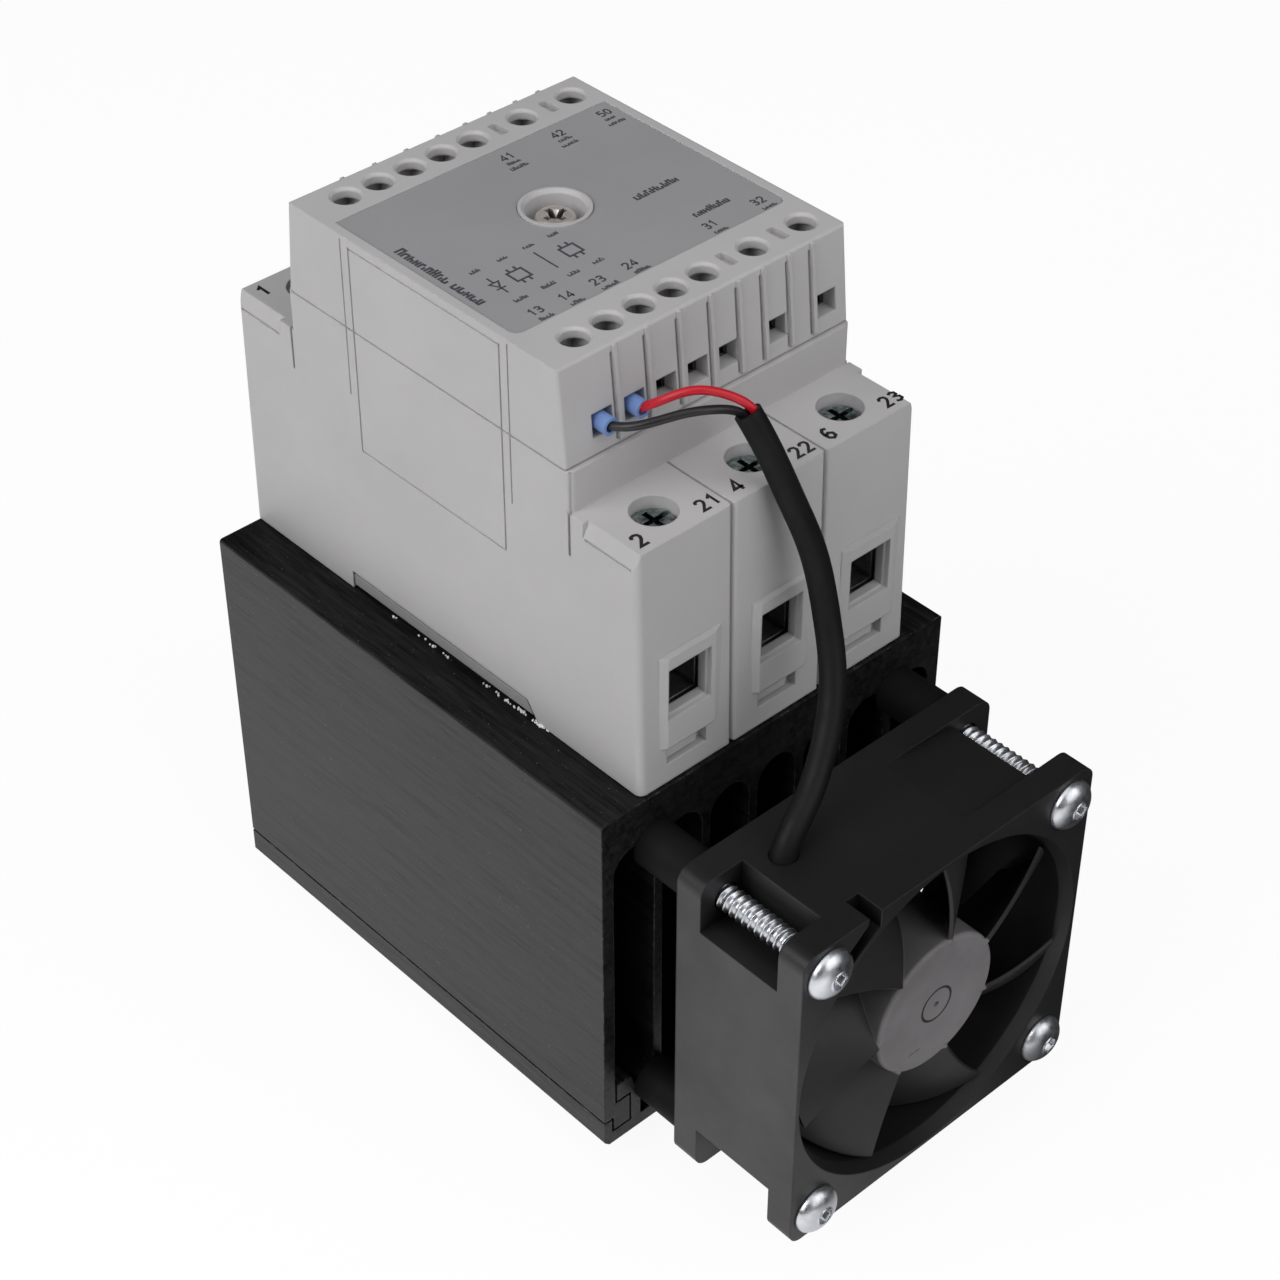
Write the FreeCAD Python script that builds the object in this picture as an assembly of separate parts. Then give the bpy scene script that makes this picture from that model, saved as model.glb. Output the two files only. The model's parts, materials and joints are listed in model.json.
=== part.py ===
import FreeCAD, Part
import math
import os

# Three-phase solid state relay on a fan-cooled heat sink. Millimetres.
# +Z is up. X runs across the three poles, Y runs along the fins, the fan is at -Y.
# Heights here count from the underside of the base plate. main() then lifts every part,
# so that the written files have their origin at the centre of the mounting rail's seat.

# ---- heat sink and base plate ----
SINK_W = 70.0
SINK_L = 90.0
SINK_TOP = 68.0
SINK_BASE_T = 7.5
SINK_WALL_T = 2.2
WALL_FOOT_Z = 5.6
FIN_T = 1.6
FIN_BOTTOM_Z = 4.0
CHANNELS = 7
PLATE_T = 2.4
HOOK_GAP = 0.42
TONGUE_X = (29.9, 33.1)
TONGUE_TOP_Z = 8.4
HOOK_OUTER_X = 27.6

# ---- housing: base and cover ----
HOUSING_Y = 0.7
HALF_W = 27.0
BASE_Z = 68.2
BASE_HALF_L = 45.1
BLOCK_TOP_Z = 110.8
BLOCK_HALF_L = 44.2
RISER_HALF_L = 31.05
SEAM_Z = 117.5
COVER_HALF_L = 30.3
COVER_TOP_HALF_L = 28.8
COVER_TOP_Z = 133.1
WALL_T = 2.0
COVER_WALL_T = 1.8
SEAM_GROOVE = 0.3

# ---- power terminals ----
POLE_PITCH = 18.0
POLES = (-POLE_PITCH, 0.0, POLE_PITCH)
POWER_V = 38.0
WINDOW_W = 7.5
WINDOW_Z = (80.6, 89.0)
PAD_BOTTOM_Z = 75.0
PAD_TOP_Z = 91.5
CLAMP_SHELF_Z = 105.6
CLAMP_HEAD_TOP_Z = 109.2
CLAMP_ROOM_Z = (76.0, 99.0)
CLAMP_THREAD_R = 2.5
CLAMP_TRAVEL = 4.8

# ---- control terminals ----
CONTROL_V = 24.4
CONTROL_X = (-19.9, -14.0, -8.1, -2.2, 3.7, 13.2, 22.8)
BLANK_X = (8.4, 18.3)
RIB_X = (-16.95, -11.05, -5.15, 0.75, 6.05, 10.75, 15.8, 20.3)
CONTROL_WINDOW = 3.7
CONTROL_WINDOW_Z = 122.2
CONTROL_POCKET_TOP_Z = 131.5

# ---- centre fixing screw and label ----
CENTRE_X = 0.0
CENTRE_V = 2.0
CENTRE_HEAD_TOP_Z = 131.9
COLLAR_R = 5.4
COLLAR_HOLE_R = 4.4
LABEL_X = 25.4
LABEL_V = (-18.9, 19.8)
LABEL_T = 0.3

# ---- fan ----
FAN_SIZE = 60.0
FAN_PITCH = 50.0
FAN_Z = 34.0
FAN_REAR_Y = -55.2
FAN_DEPTH = 25.0
FAN_FRONT_Y = FAN_REAR_Y - FAN_DEPTH
FLANGE_T = 4.8
BORE_R = 28.5
NOTCH_X = 21.9
NOTCH_Z = 21.0
FLAT_END_X = 7.15
FLAT_FALL = 1.4
HUB_R = 12.2
BLADE_TIP_R = 27.7
BLADES = 7
BLADE_MID_Y = -73.0
PORT_R = 2.15

# ---- rail clip under the base plate ----
RAIL_HALF_W = 17.5
SEAT_Z = -3.0
LIP_BOTTOM_Z = -6.0
LATCH_TRAVEL = 4.0


def V(x, y, z):
    return FreeCAD.Vector(x, y, z)


def box(x0, x1, y0, y1, z0, z1):
    lo = V(min(x0, x1), min(y0, y1), min(z0, z1))
    return Part.makeBox(abs(x1 - x0), abs(y1 - y0), abs(z1 - z0), lo)


def cyl_z(x, y, z0, z1, r):
    return Part.makeCylinder(r, z1 - z0, V(x, y, z0), V(0, 0, 1))


def cyl_y(x, z, y0, y1, r):
    return Part.makeCylinder(r, y1 - y0, V(x, y0, z), V(0, 1, 0))


def tube_y(x, z, y0, y1, r_out, r_in):
    return cyl_y(x, z, y0, y1, r_out).cut(cyl_y(x, z, y0 - 1, y1 + 1, r_in))


def prism_yz(points, x0, x1):
    """A polygon of (y, z) points, drawn out from x0 to x1."""
    wire = Part.makePolygon([V(x0, y, z) for y, z in points + points[:1]])
    return Part.Face(wire).extrude(V(x1 - x0, 0, 0))


def prism_xz(points, y0, y1):
    """A polygon of (x, z) points, drawn out from y0 to y1."""
    wire = Part.makePolygon([V(x, y0, z) for x, z in points + points[:1]])
    return Part.Face(wire).extrude(V(0, y1 - y0, 0))


def prism_xy(points, z0, z1):
    """A polygon of (x, y) points, drawn out from z0 to z1."""
    wire = Part.makePolygon([V(x, y, z0) for x, y in points + points[:1]])
    return Part.Face(wire).extrude(V(0, 0, z1 - z0))


def fuse(shapes):
    return shapes[0].multiFuse(shapes[1:]).removeSplitter()


def mirrored_x(shape):
    return shape.mirror(V(0, 0, 0), V(1, 0, 0))


def end_y(v, side):
    """The y of a point v millimetres from the housing's middle, towards one end."""
    return HOUSING_Y + side * v


def end_box(x0, x1, v0, v1, z0, z1, side):
    return box(x0, x1, end_y(v0, side), end_y(v1, side), z0, z1)


def round_edges(shape, radius, wanted):
    """Rounds the edges whose middle point passes the test."""
    picked = []
    for edge in shape.Edges:
        middle = edge.valueAt((edge.FirstParameter + edge.LastParameter) / 2)
        if wanted(middle, edge):
            picked.append(edge)
    return shape.makeFillet(radius, picked)


def sweep(points, radius):
    """A round wire or cable along a smooth curve through the points."""
    path = Part.BSplineCurve()
    path.interpolate([V(*p) for p in points])
    start = path.value(path.FirstParameter)
    direction = path.tangent(path.FirstParameter)[0]
    ring = Part.Wire(Part.makeCircle(radius, start, direction))
    return Part.Wire(path.toShape()).makePipeShell([ring], True, True)


def cross_recess(x, y, top_z, arm, width, depth):
    """A cross-shaped driver recess, to be cut from a screw head."""
    slots = []
    for half_x, half_y in ((arm, width), (width, arm)):
        slots.append(box(x - half_x, x + half_x, y - half_y, y + half_y, top_z - depth, top_z + 1))
    return slots[0].fuse(slots[1])


# ---------------------------------------------------------------- heat sink

def fan_screw_places():
    half = FAN_PITCH / 2
    return [(sx * half, FAN_Z + sz * half) for sx in (-1, 1) for sz in (-1, 1)]


def heatsink():
    half_w = SINK_W / 2
    half_l = SINK_L / 2
    inner = half_w - SINK_WALL_T
    channel = (2 * inner - (CHANNELS - 1) * FIN_T) / CHANNELS
    slot_top = SINK_TOP - SINK_BASE_T
    body = box(-half_w, half_w, -half_l, half_l, FIN_BOTTOM_Z, SINK_TOP)
    body = round_edges(body, 0.6, lambda m, e: m.z > SINK_TOP - 0.1 and abs(m.x) > half_w - 0.1)
    cuts = []
    for i in range(CHANNELS):
        x = -inner + channel / 2 + i * (channel + FIN_T)
        cuts.append(box(x - channel / 2, x + channel / 2, -46, 46, 0, slot_top - channel / 2))
        cuts.append(cyl_y(x, slot_top - channel / 2, -46, 46, channel / 2))
    for side in (-1, 1):
        cuts.append(box(side * inner, side * 40, -46, 46, 0, WALL_FOOT_Z))
    body = body.cut(fuse(cuts))
    adds = []
    for side in (-1, 1):
        lo, hi = TONGUE_X
        foot = box(side * lo, side * hi, -half_l, half_l, PLATE_T + HOOK_GAP, TONGUE_TOP_Z)
        web = box(side * (hi - 1), side * (inner + 1), -half_l, half_l, WALL_FOOT_Z, TONGUE_TOP_Z)
        adds += [foot, web]
    ports = []
    for x, z in fan_screw_places():
        adds.append(cyl_y(x, z, -half_l, half_l, 3.0))
        ports.append(cyl_y(x, z, -46, 46, PORT_R))
    body = fuse([body] + adds).cut(fuse(ports))
    return body.cut(cyl_z(CENTRE_X, end_y(CENTRE_V, 1), 60.6, 70, 2.06))


def hook_profile():
    """The rail hook that wraps the foot of the heat sink's left wall, as (x, z) points."""
    outer = SINK_W / 2
    foot_lo, foot_hi = TONGUE_X
    wall_inner = outer - SINK_WALL_T
    lip_z = TONGUE_TOP_Z + HOOK_GAP
    return [
        (-outer, 0.9), (-outer + 0.9, 0.0), (-HOOK_OUTER_X, 0.0), (-HOOK_OUTER_X, 6.5),
        (-29.4, 12.0), (-30.0, 12.4), (-wall_inner + HOOK_GAP, 12.4), (-wall_inner + HOOK_GAP, lip_z),
        (-foot_lo + HOOK_GAP, lip_z), (-foot_lo + HOOK_GAP, PLATE_T), (-foot_hi - HOOK_GAP, PLATE_T),
        (-foot_hi - HOOK_GAP, WALL_FOOT_Z - HOOK_GAP), (-outer, WALL_FOOT_Z - HOOK_GAP),
    ]


def base_plate():
    half_l = SINK_L / 2
    hook = prism_xz(hook_profile(), -half_l, half_l)
    web = box(-HOOK_OUTER_X - 0.5, HOOK_OUTER_X + 0.5, -half_l, half_l, 0, PLATE_T)
    plate = fuse([hook, mirrored_x(hook), web])
    for x in (-10, 10):
        plate = plate.cut(cyl_z(x, 0, -1, PLATE_T + 1, 1.6))
    return plate


# ---------------------------------------------------------------- rail clip

def din_clip():
    plate = box(-20, 20, -30, 22, SEAT_Z, 0)
    hook = box(-20, 20, RAIL_HALF_W + 0.2, 22, LIP_BOTTOM_Z, SEAT_Z)
    lip = box(-20, 20, RAIL_HALF_W - 1.2, RAIL_HALF_W + 0.2, LIP_BOTTOM_Z, SEAT_Z - 1.3)
    body = fuse([plate, hook, lip])
    body = body.cut(box(-20, 20, 15.6, RAIL_HALF_W + 0.2, SEAT_Z - 1.3, SEAT_Z + 0.3))
    body = body.cut(box(-20, 20, -31, -15.6, SEAT_Z - 1, SEAT_Z + 0.3))
    for x in (-10, 10):
        body = body.cut(cyl_z(x, 0, SEAT_Z - 1, SEAT_Z + 1.5, 3.4))
    guides = []
    for side in (-1, 1):
        guides.append(box(side * 9.1, side * 12.5, -30, -19, LIP_BOTTOM_Z, SEAT_Z + 0.5))
        guides.append(box(side * 7.6, side * 9.2, -30, -19, LIP_BOTTOM_Z, LIP_BOTTOM_Z + 1.0))
    guides.append(box(-1.4, 1.4, -29.6, -28.2, LIP_BOTTOM_Z + 0.4, SEAT_Z + 0.5))
    body = fuse([body] + guides)
    for x in (-10, 10):
        body = body.cut(cyl_z(x, 0, -4, 1, 1.6))
    return body


def din_latch():
    top = SEAT_Z + 0.2
    tongue = box(-7.4, 7.4, -40, -RAIL_HALF_W - 0.2, LIP_BOTTOM_Z, top)
    wings = box(-9.0, 9.0, -40, -RAIL_HALF_W - 0.2, LIP_BOTTOM_Z + 1.1, top)
    nose = box(-7.4, 7.4, -RAIL_HALF_W - 0.2, -RAIL_HALF_W + 1.2, LIP_BOTTOM_Z, SEAT_Z - 1.3)
    tab = box(-5.5, 5.5, -47, -40, LIP_BOTTOM_Z, top)
    body = fuse([tongue, wings, nose, tab])
    ramp = prism_yz([(-15.9, -6.1), (-15.9, -5.0), (-17.4, -6.1)], -8, 8)
    body = body.cut(ramp)
    body = body.cut(box(-2.2, 2.2, -30.2, -20.5, -7, 0))
    return body.cut(box(-2.5, 2.5, -45.2, -43.6, -7, 0))


def din_latch_spring():
    wire_r = 0.25
    coil_r = 1.2
    length = 7.0
    turns_pitch = 1.0
    path = Part.makeHelix(turns_pitch, length, coil_r)
    ring = Part.Wire(Part.makeCircle(wire_r, V(coil_r, 0, 0), V(0, 1, 0)))
    coil = Part.Wire(path).makePipeShell([ring], True, True)
    coil.rotate(V(0, 0, 0), V(1, 0, 0), -90)
    coil.translate(V(0, -27.9, -4.4))
    return coil


def din_clip_screws():
    screws = []
    for x in (-10, 10):
        head = cyl_z(x, 0, SEAT_Z + 0.1, SEAT_Z + 1.48, 2.8)
        head = head.cut(box(x - 3, x + 3, -0.35, 0.35, SEAT_Z - 1, SEAT_Z + 0.8))
        screws.append(head.fuse(cyl_z(x, 0, SEAT_Z + 1.4, PLATE_T, 1.55)))
    return Part.makeCompound(screws)


# ---------------------------------------------------------------- housing base

def base_outline():
    """The stepped side view of the housing base, as (y, z) points."""
    half = [(BASE_HALF_L, BASE_Z), (BLOCK_HALF_L, BLOCK_TOP_Z),
            (RISER_HALF_L, BLOCK_TOP_Z), (RISER_HALF_L, SEAM_Z)]
    right = [(end_y(v, 1), z) for v, z in half]
    left = [(end_y(v, -1), z) for v, z in reversed(half)]
    return right + left


def terminal_pads(side):
    """Proud bevelled panels round the three wire windows of one end, wider on one side."""
    pads = []
    for x in POLES:
        near = x + side * 5.3
        far = x - side * 6.7
        outline = [(near, end_y(43.5, side)), (near, end_y(44.8, side)), (x + side * 4.15, end_y(45.6, side)),
                   (x - side * 4.9, end_y(45.6, side)), (far, end_y(44.7, side)), (far, end_y(43.5, side))]
        pads.append(prism_xy(outline, PAD_BOTTOM_Z, PAD_TOP_Z))
    return pads


def terminal_cuts(side):
    """Everything cut from the three power terminals of one end."""
    cuts = []
    z0, z1 = WINDOW_Z
    half = WINDOW_W / 2
    rim = 0.35
    slot_half = 3.85
    slot_top = PAD_BOTTOM_Z - 0.2
    for x in POLES:
        y = end_y(POWER_V, side)
        cuts.append(cyl_z(x, y, CLAMP_SHELF_Z - 0.05, 112.0, 3.5))
        cuts.append(cyl_z(x, y, 98.0, CLAMP_SHELF_Z + 0.1, CLAMP_THREAD_R + 0.06))
        cuts.append(end_box(x - 5.6, x + 5.6, 32.6, 43.2, *CLAMP_ROOM_Z, side))
        cuts.append(end_box(x - half, x + half, 43.0, 47.0, z0, z1, side))
        cuts.append(end_box(x - half - rim, x + half + rim, 44.7, 47.0, z0 - rim, z1 + rim, side))
        cuts.append(end_box(x - 3.4, x + 3.4, 28.0, 33.0, 87.9, 89.3, side))
        cuts.append(end_box(x - slot_half, x + slot_half, 43.4, 47.0, 71.5, 72.3, side))
        cuts.append(end_box(x - slot_half, x + slot_half, 44.55, 47.0, 72.2, slot_top, side))
        cuts.append(end_box(x - side * slot_half, x - side * 2.25, 40.0, 47.0, 72.2, slot_top, side))
    return cuts


def pole_seams(side):
    """The upright grooves between neighbouring poles, carried back over the block's top."""
    cuts = []
    for x in (-POLE_PITCH / 2, POLE_PITCH / 2):
        seam = [(end_y(44.2, side), 68.0), (end_y(47.0, side), 68.0),
                (end_y(47.0, side), 112.0), (end_y(43.3, side), 112.0)]
        cuts.append(prism_yz(seam, x - 0.2, x + 0.2))
        cuts.append(end_box(x - 0.2, x + 0.2, RISER_HALF_L, 47.0, BLOCK_TOP_Z - 0.4, 112.0, side))
    return cuts


def side_cuts(side):
    """Grooves and cut-outs in one long side wall, from z 68 up to the top of the cover."""
    face = side * HALF_W
    skin = (face - side * 0.25, face + side)
    cuts = []
    for v in (-17.2, 15.2):
        cuts.append(box(*skin, end_y(v, 1) - 0.12, end_y(v, 1) + 0.12, 96.8, 131.7))
    for z in (96.8, 131.5):
        cuts.append(box(*skin, end_y(-17.2, 1), end_y(15.2, 1), z - 0.12, z + 0.12))
    for v in (-18.9, 17.0):
        cuts.append(box(*skin, end_y(v, 1) - 0.1, end_y(v, 1) + 0.1, 106.0, 132.4))
    for end in (-1, 1):
        cuts.append(box(face - side * 0.6, face + side, end_y(30.6, end), end_y(31.05, end), 103.6, SEAM_Z))
        bevel = [(face + side * 0.01, BLOCK_TOP_Z + 0.01), (face - side * 1.0, BLOCK_TOP_Z + 0.01),
                 (face + side * 0.01, BLOCK_TOP_Z - 2.6)]
        y0, y1 = sorted((end_y(33.6, end), end_y(46.0, end)))
        cuts.append(prism_xz(bevel, y0, y1))
        y0, y1 = sorted((end_y(34.0, end), end_y(43.2, end)))
        z0, z1 = BLOCK_TOP_Z - 2.8, BLOCK_TOP_Z - 2.5
        cuts.append(box(face - side * 0.35, face + side, y0, y1, z0, z1))
    return cuts


def retainer_outline(gap):
    """Side view of the cut-out where the module frame's tongue shows, shrunk by gap."""
    top = 71.4 - gap
    foot = BASE_Z - 0.1
    points = [(-23.1 + gap * 1.6, foot), (-20.8 + gap, top), (20.2 - gap, top), (20.2 - gap, foot)]
    return [(end_y(v, 1), z) for v, z in points]


def housing_base():
    body = prism_yz(base_outline(), -HALF_W, HALF_W)
    pads = terminal_pads(-1) + terminal_pads(1)

    def upright_corner(m, edge):
        tall = edge.BoundBox.ZLength > 5
        return tall and abs(m.x) > HALF_W - 0.1 and edge.BoundBox.XLength < 0.1

    def seam_corner(m, edge):
        tall = edge.BoundBox.ZLength > 5
        return tall and abs(abs(m.x) - POLE_PITCH / 2) < 0.25 and abs(m.y - HOUSING_Y) > BLOCK_HALF_L

    body = round_edges(body, 1.2, upright_corner)
    body = body.cut(fuse(pole_seams(-1) + pole_seams(1)))
    body = round_edges(body, 0.7, seam_corner)
    body = fuse([body] + pads)
    cuts = [end_box(-25, 25, -29, 29, 60, SEAM_Z - WALL_T, 1), end_box(-23.5, 23.5, -27.5, 27.5, 110, 120, 1)]
    for side in (-1, 1):
        cuts += terminal_cuts(side)
        cuts += side_cuts(side)
        cuts.append(prism_yz(retainer_outline(0.0), side * 24, side * 28))
    return body.cut(fuse(cuts))


# ---------------------------------------------------------------- housing cover

def cover_face_v(z):
    """How far the drafted end face of the cover is from the middle at a height."""
    share = (z - SEAM_Z) / (COVER_TOP_Z - SEAM_Z)
    return COVER_HALF_L + (COVER_TOP_HALF_L - COVER_HALF_L) * share


def cover_ribs(side):
    ribs = []
    for x in RIB_X:
        z0 = SEAM_Z + 0.9
        outline = [(end_y(cover_face_v(z0) - 1, side), z0), (end_y(cover_face_v(z0) + 0.45, side), z0),
                   (end_y(cover_face_v(COVER_TOP_Z) + 0.45, side), COVER_TOP_Z - 0.25),
                   (end_y(cover_face_v(COVER_TOP_Z) - 1, side), COVER_TOP_Z - 0.25)]
        ribs.append(prism_yz(outline, x - 0.35, x + 0.35))
    return ribs


def cover_cuts(side):
    cuts = []
    low = SEAM_Z + 0.9
    high = COVER_TOP_Z - 1.3
    for x in RIB_X:
        outline = [(end_y(cover_face_v(low) - 0.4, side), low), (end_y(cover_face_v(low) + 2, side), low),
                   (end_y(cover_face_v(high) + 2, side), high), (end_y(cover_face_v(high) - 0.4, side), high)]
        cuts.append(prism_yz(outline, x - 0.35 - 0.4, x - 0.35))
    half = CONTROL_WINDOW / 2
    for x in CONTROL_X:
        y = end_y(CONTROL_V, side)
        cuts.append(cyl_z(x, y, CONTROL_POCKET_TOP_Z - 0.5, 134.0, 2.1))
        cuts.append(Part.makeCone(2.1, 2.5, 0.4, V(x, y, COVER_TOP_Z - 0.39), V(0, 0, 1)))
        cuts.append(end_box(x - 2.45, x + 2.45, 21.2, 27.4, 117.0, CONTROL_POCKET_TOP_Z, side))
        z0, z1 = CONTROL_WINDOW_Z - half, CONTROL_WINDOW_Z + half
        cuts.append(end_box(x - half, x + half, 27.0, 33.0, z0, z1, side))
    for x in BLANK_X:
        slot = end_box(x - 0.8, x + 0.8, CONTROL_V - 1.9, CONTROL_V + 1.5, COVER_TOP_Z - 1.2, 134.0, side)
        cuts.append(round_edges(slot, 0.5, lambda m, e: e.BoundBox.ZLength > 0.5))
    return cuts


def seam_groove():
    """The thin shadow gap that runs round the cover where it meets the base."""
    z0, z1 = SEAM_Z - 0.1, SEAM_Z + SEAM_GROOVE
    ring = end_box(-HALF_W - 1, HALF_W + 1, -COVER_HALF_L - 1, COVER_HALF_L + 1, z0, z1, 1)
    inset = COVER_HALF_L - SEAM_GROOVE
    return ring.cut(end_box(-HALF_W + SEAM_GROOVE, HALF_W - SEAM_GROOVE, -inset, inset, z0 - 1, z1 + 1, 1))


def label_recess():
    front, rear = end_y(LABEL_V[0], 1), end_y(LABEL_V[1], 1)
    outline = box(-LABEL_X, LABEL_X, front, rear, COVER_TOP_Z - LABEL_T, COVER_TOP_Z + 1)
    return round_edges(outline, 1.5, lambda m, e: e.BoundBox.ZLength > 0.2 and abs(m.y - front) < 0.1)


def housing_cover():
    outline = [(end_y(COVER_HALF_L, 1), SEAM_Z), (end_y(COVER_TOP_HALF_L, 1), COVER_TOP_Z),
               (end_y(COVER_TOP_HALF_L, -1), COVER_TOP_Z), (end_y(COVER_HALF_L, -1), SEAM_Z)]
    body = prism_yz(outline, -HALF_W, HALF_W)

    def outer_edge(m, edge):
        upright = abs(m.x) > HALF_W - 0.1 and edge.BoundBox.ZLength > 5
        return upright or (m.z > COVER_TOP_Z - 0.1 and abs(m.y - HOUSING_Y) > 5)

    body = round_edges(body, 0.5, outer_edge)
    body = fuse([body] + cover_ribs(-1) + cover_ribs(1))
    room_top = COVER_TOP_Z - COVER_WALL_T - LABEL_T
    cuts = [end_box(-25.2, 25.2, -20.2, 20.2, 110, room_top, 1), label_recess(), seam_groove()]
    for side in (-1, 1):
        cuts += cover_cuts(side)
        cuts += side_cuts(side)[:6]
    body = body.cut(fuse(cuts))
    y = end_y(CENTRE_V, 1)
    boss = cyl_z(CENTRE_X, y, 126.4, COVER_TOP_Z - LABEL_T, COLLAR_R + 1.0)
    ring = cyl_z(CENTRE_X, y, COVER_TOP_Z - LABEL_T - 0.5, COVER_TOP_Z + 0.15, COLLAR_R)
    body = fuse([body, boss, ring])
    body = body.cut(cyl_z(CENTRE_X, y, CENTRE_HEAD_TOP_Z - 2.55, 140, COLLAR_HOLE_R))
    countersink = V(CENTRE_X, y, COVER_TOP_Z - 0.4)
    body = body.cut(Part.makeCone(COLLAR_HOLE_R, COLLAR_HOLE_R + 0.5, 0.6, countersink, V(0, 0, 1)))
    return body.cut(cyl_z(CENTRE_X, y, 120, 130, 2.2))


def label_plate():
    """The printed face sheet, lying in its recess on top of the cover."""
    floor = COVER_TOP_Z - LABEL_T
    front, rear = end_y(LABEL_V[0] + 0.1, 1), end_y(LABEL_V[1] - 0.1, 1)
    sheet = box(-LABEL_X + 0.1, LABEL_X - 0.1, front, rear, floor, floor + 0.2)
    sheet = round_edges(sheet, 1.4, lambda m, e: e.BoundBox.ZLength > 0.15 and abs(m.y - front) < 0.1)
    return sheet.cut(cyl_z(CENTRE_X, end_y(CENTRE_V, 1), 130, 140, COLLAR_R + 0.1))


def fixing_screw():
    y = end_y(CENTRE_V, 1)
    top = CENTRE_HEAD_TOP_Z
    head = cyl_z(CENTRE_X, y, top - 2.5, top, 2.95)
    head = round_edges(head, 0.7, lambda m, e: m.z > top - 0.1)
    head = head.cut(cross_recess(CENTRE_X, y, top, 1.9, 0.5, 1.4))
    head = head.cut(Part.makeCone(0.4, 1.3, 1.5, V(CENTRE_X, y, top - 1.4), V(0, 0, 1)))
    return head.fuse(cyl_z(CENTRE_X, y, 61.0, top - 2.4, 2.0))


# ---------------------------------------------------------------- power terminals

def clamp_screw(x, side):
    """Captive pan-head clamp screw, head resting on the shelf below its access hole."""
    y = end_y(POWER_V, side)
    top = CLAMP_HEAD_TOP_Z
    head = cyl_z(x, y, CLAMP_SHELF_Z, top, 3.3)
    head = round_edges(head, 0.9, lambda m, e: m.z > top - 0.1)
    head = head.cut(cross_recess(x, y, top, 2.1, 0.45, 1.8))
    head = head.cut(box(x - 3.4, x + 3.4, y - 0.4, y + 0.4, top - 0.6, top + 0.4))
    shank = cyl_z(x, y, 90.4, CLAMP_SHELF_Z + 0.05, CLAMP_THREAD_R)
    return head.fuse(shank)


def clamp_cage(x, side):
    """Rising box clamp, drawn at its lowest, with the wire space open."""
    y = end_y(POWER_V, side)
    body = box(x - 5.0, x + 5.0, y - 4.4, y + 4.4, 78.9, 93.2)
    body = round_edges(body, 0.8, lambda m, e: e.BoundBox.YLength > 5)
    body = body.cut(box(x - 3.8, x + 3.8, y - 5, y + 5, 80.5, 90.0))
    return body.cut(cyl_z(x, y, 88, 95, CLAMP_THREAD_R + 0.05))


def terminal_bars():
    """Six flat conductors from the module substrates out to the box clamps."""
    bars = []
    for side in (-1, 1):
        for x in POLES:
            flat = end_box(x - 3.0, x + 3.0, 21.8, 41.8, 88.0, 89.2, side)
            riser = end_box(x - 3.0, x + 3.0, 21.8, 23.0, 69.4, 88.2, side)
            foot = end_box(x - 3.0, x + 3.0, 18.0, 23.0, 69.3, 70.3, side)
            bars.append(fuse([flat, riser, foot]))
    return Part.makeCompound(bars)


# ---------------------------------------------------------------- control terminals

def control_screw(x, side):
    y = end_y(CONTROL_V, side)
    head = cyl_z(x, y, 124.7, 126.7, 1.9)
    head = round_edges(head, 0.4, lambda m, e: m.z > 126.6)
    head = head.cut(box(x - 2.2, x + 2.2, y - 0.3, y + 0.3, 125.9, 127.0))
    return head.fuse(cyl_z(x, y, 122.4, 124.8, 1.25))


def control_clamps(side):
    """One row of small fixed clamp bodies with solder legs."""
    bodies = []
    for x in CONTROL_X:
        y = end_y(CONTROL_V, side)
        body = box(x - 2.2, x + 2.2, y - 2.8, y + 2.8, 118.6, 124.5)
        body = body.cut(box(x - 1.6, x + 1.6, y - 3, y + 3, 120.4, 123.0))
        body = body.cut(cyl_z(x, y, 121.5, 125, 1.3))
        legs = [box(x - 0.4, x + 0.4, y + d - 0.3, y + d + 0.3, 113.6, 118.8) for d in (-1.4, 1.4)]
        bodies.append(fuse([body] + legs))
    return Part.makeCompound(bodies)


# ---------------------------------------------------------------- power module and boards

def centre_bore(z0, z1, r):
    return cyl_z(CENTRE_X, end_y(CENTRE_V, 1), z0, z1, r)


def module_frame():
    """Insulating frame of the power module; its side tongues show in the housing's cut-outs."""
    body = end_box(-24.7, 24.7, -28.6, 28.6, 68.4, 78.0, 1)
    rooms = []
    for x in POLES:
        for side in (-1, 1):
            rooms.append(end_box(x - 6.0, x + 6.0, 5.6, 24.8, 60, 80, side))
    body = body.cut(fuse(rooms))
    tongues = []
    for side in (-1, 1):
        whole = prism_yz(retainer_outline(0.4), side * 24.5, side * 26.9)
        tongues.append(whole.cut(box(-30, 30, -60, 60, 60, 69.0)))
    return fuse([body] + tongues).cut(centre_bore(60, 80, 2.3))


def thermal_pad():
    pad = end_box(-24.5, 24.5, -28.4, 28.4, SINK_TOP, SINK_TOP + 0.3, 1)
    return pad.cut(centre_bore(60, 80, 2.3))


def substrates():
    plates = []
    for x in POLES:
        for side in (-1, 1):
            plates.append(end_box(x - 5.7, x + 5.7, 5.9, 24.5, 68.3, 69.3, side))
    return Part.makeCompound(plates)


def thyristor_chips():
    chips = []
    for x in POLES:
        for side in (-1, 1):
            chips.append(end_box(x - 4.0, x + 4.0, 8.5, 16.5, 69.3, 69.75, side))
    return Part.makeCompound(chips)


def pin_places():
    places = []
    for x in POLES:
        for side in (-1, 1):
            for dx in (-4.9, 4.9):
                places.append((x + dx, end_y(10.0, side)))
    return places


def gate_pins():
    pins = [cyl_z(x, y, 69.3, 116.4, 0.35) for x, y in pin_places()]
    return Part.makeCompound(pins)


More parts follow.
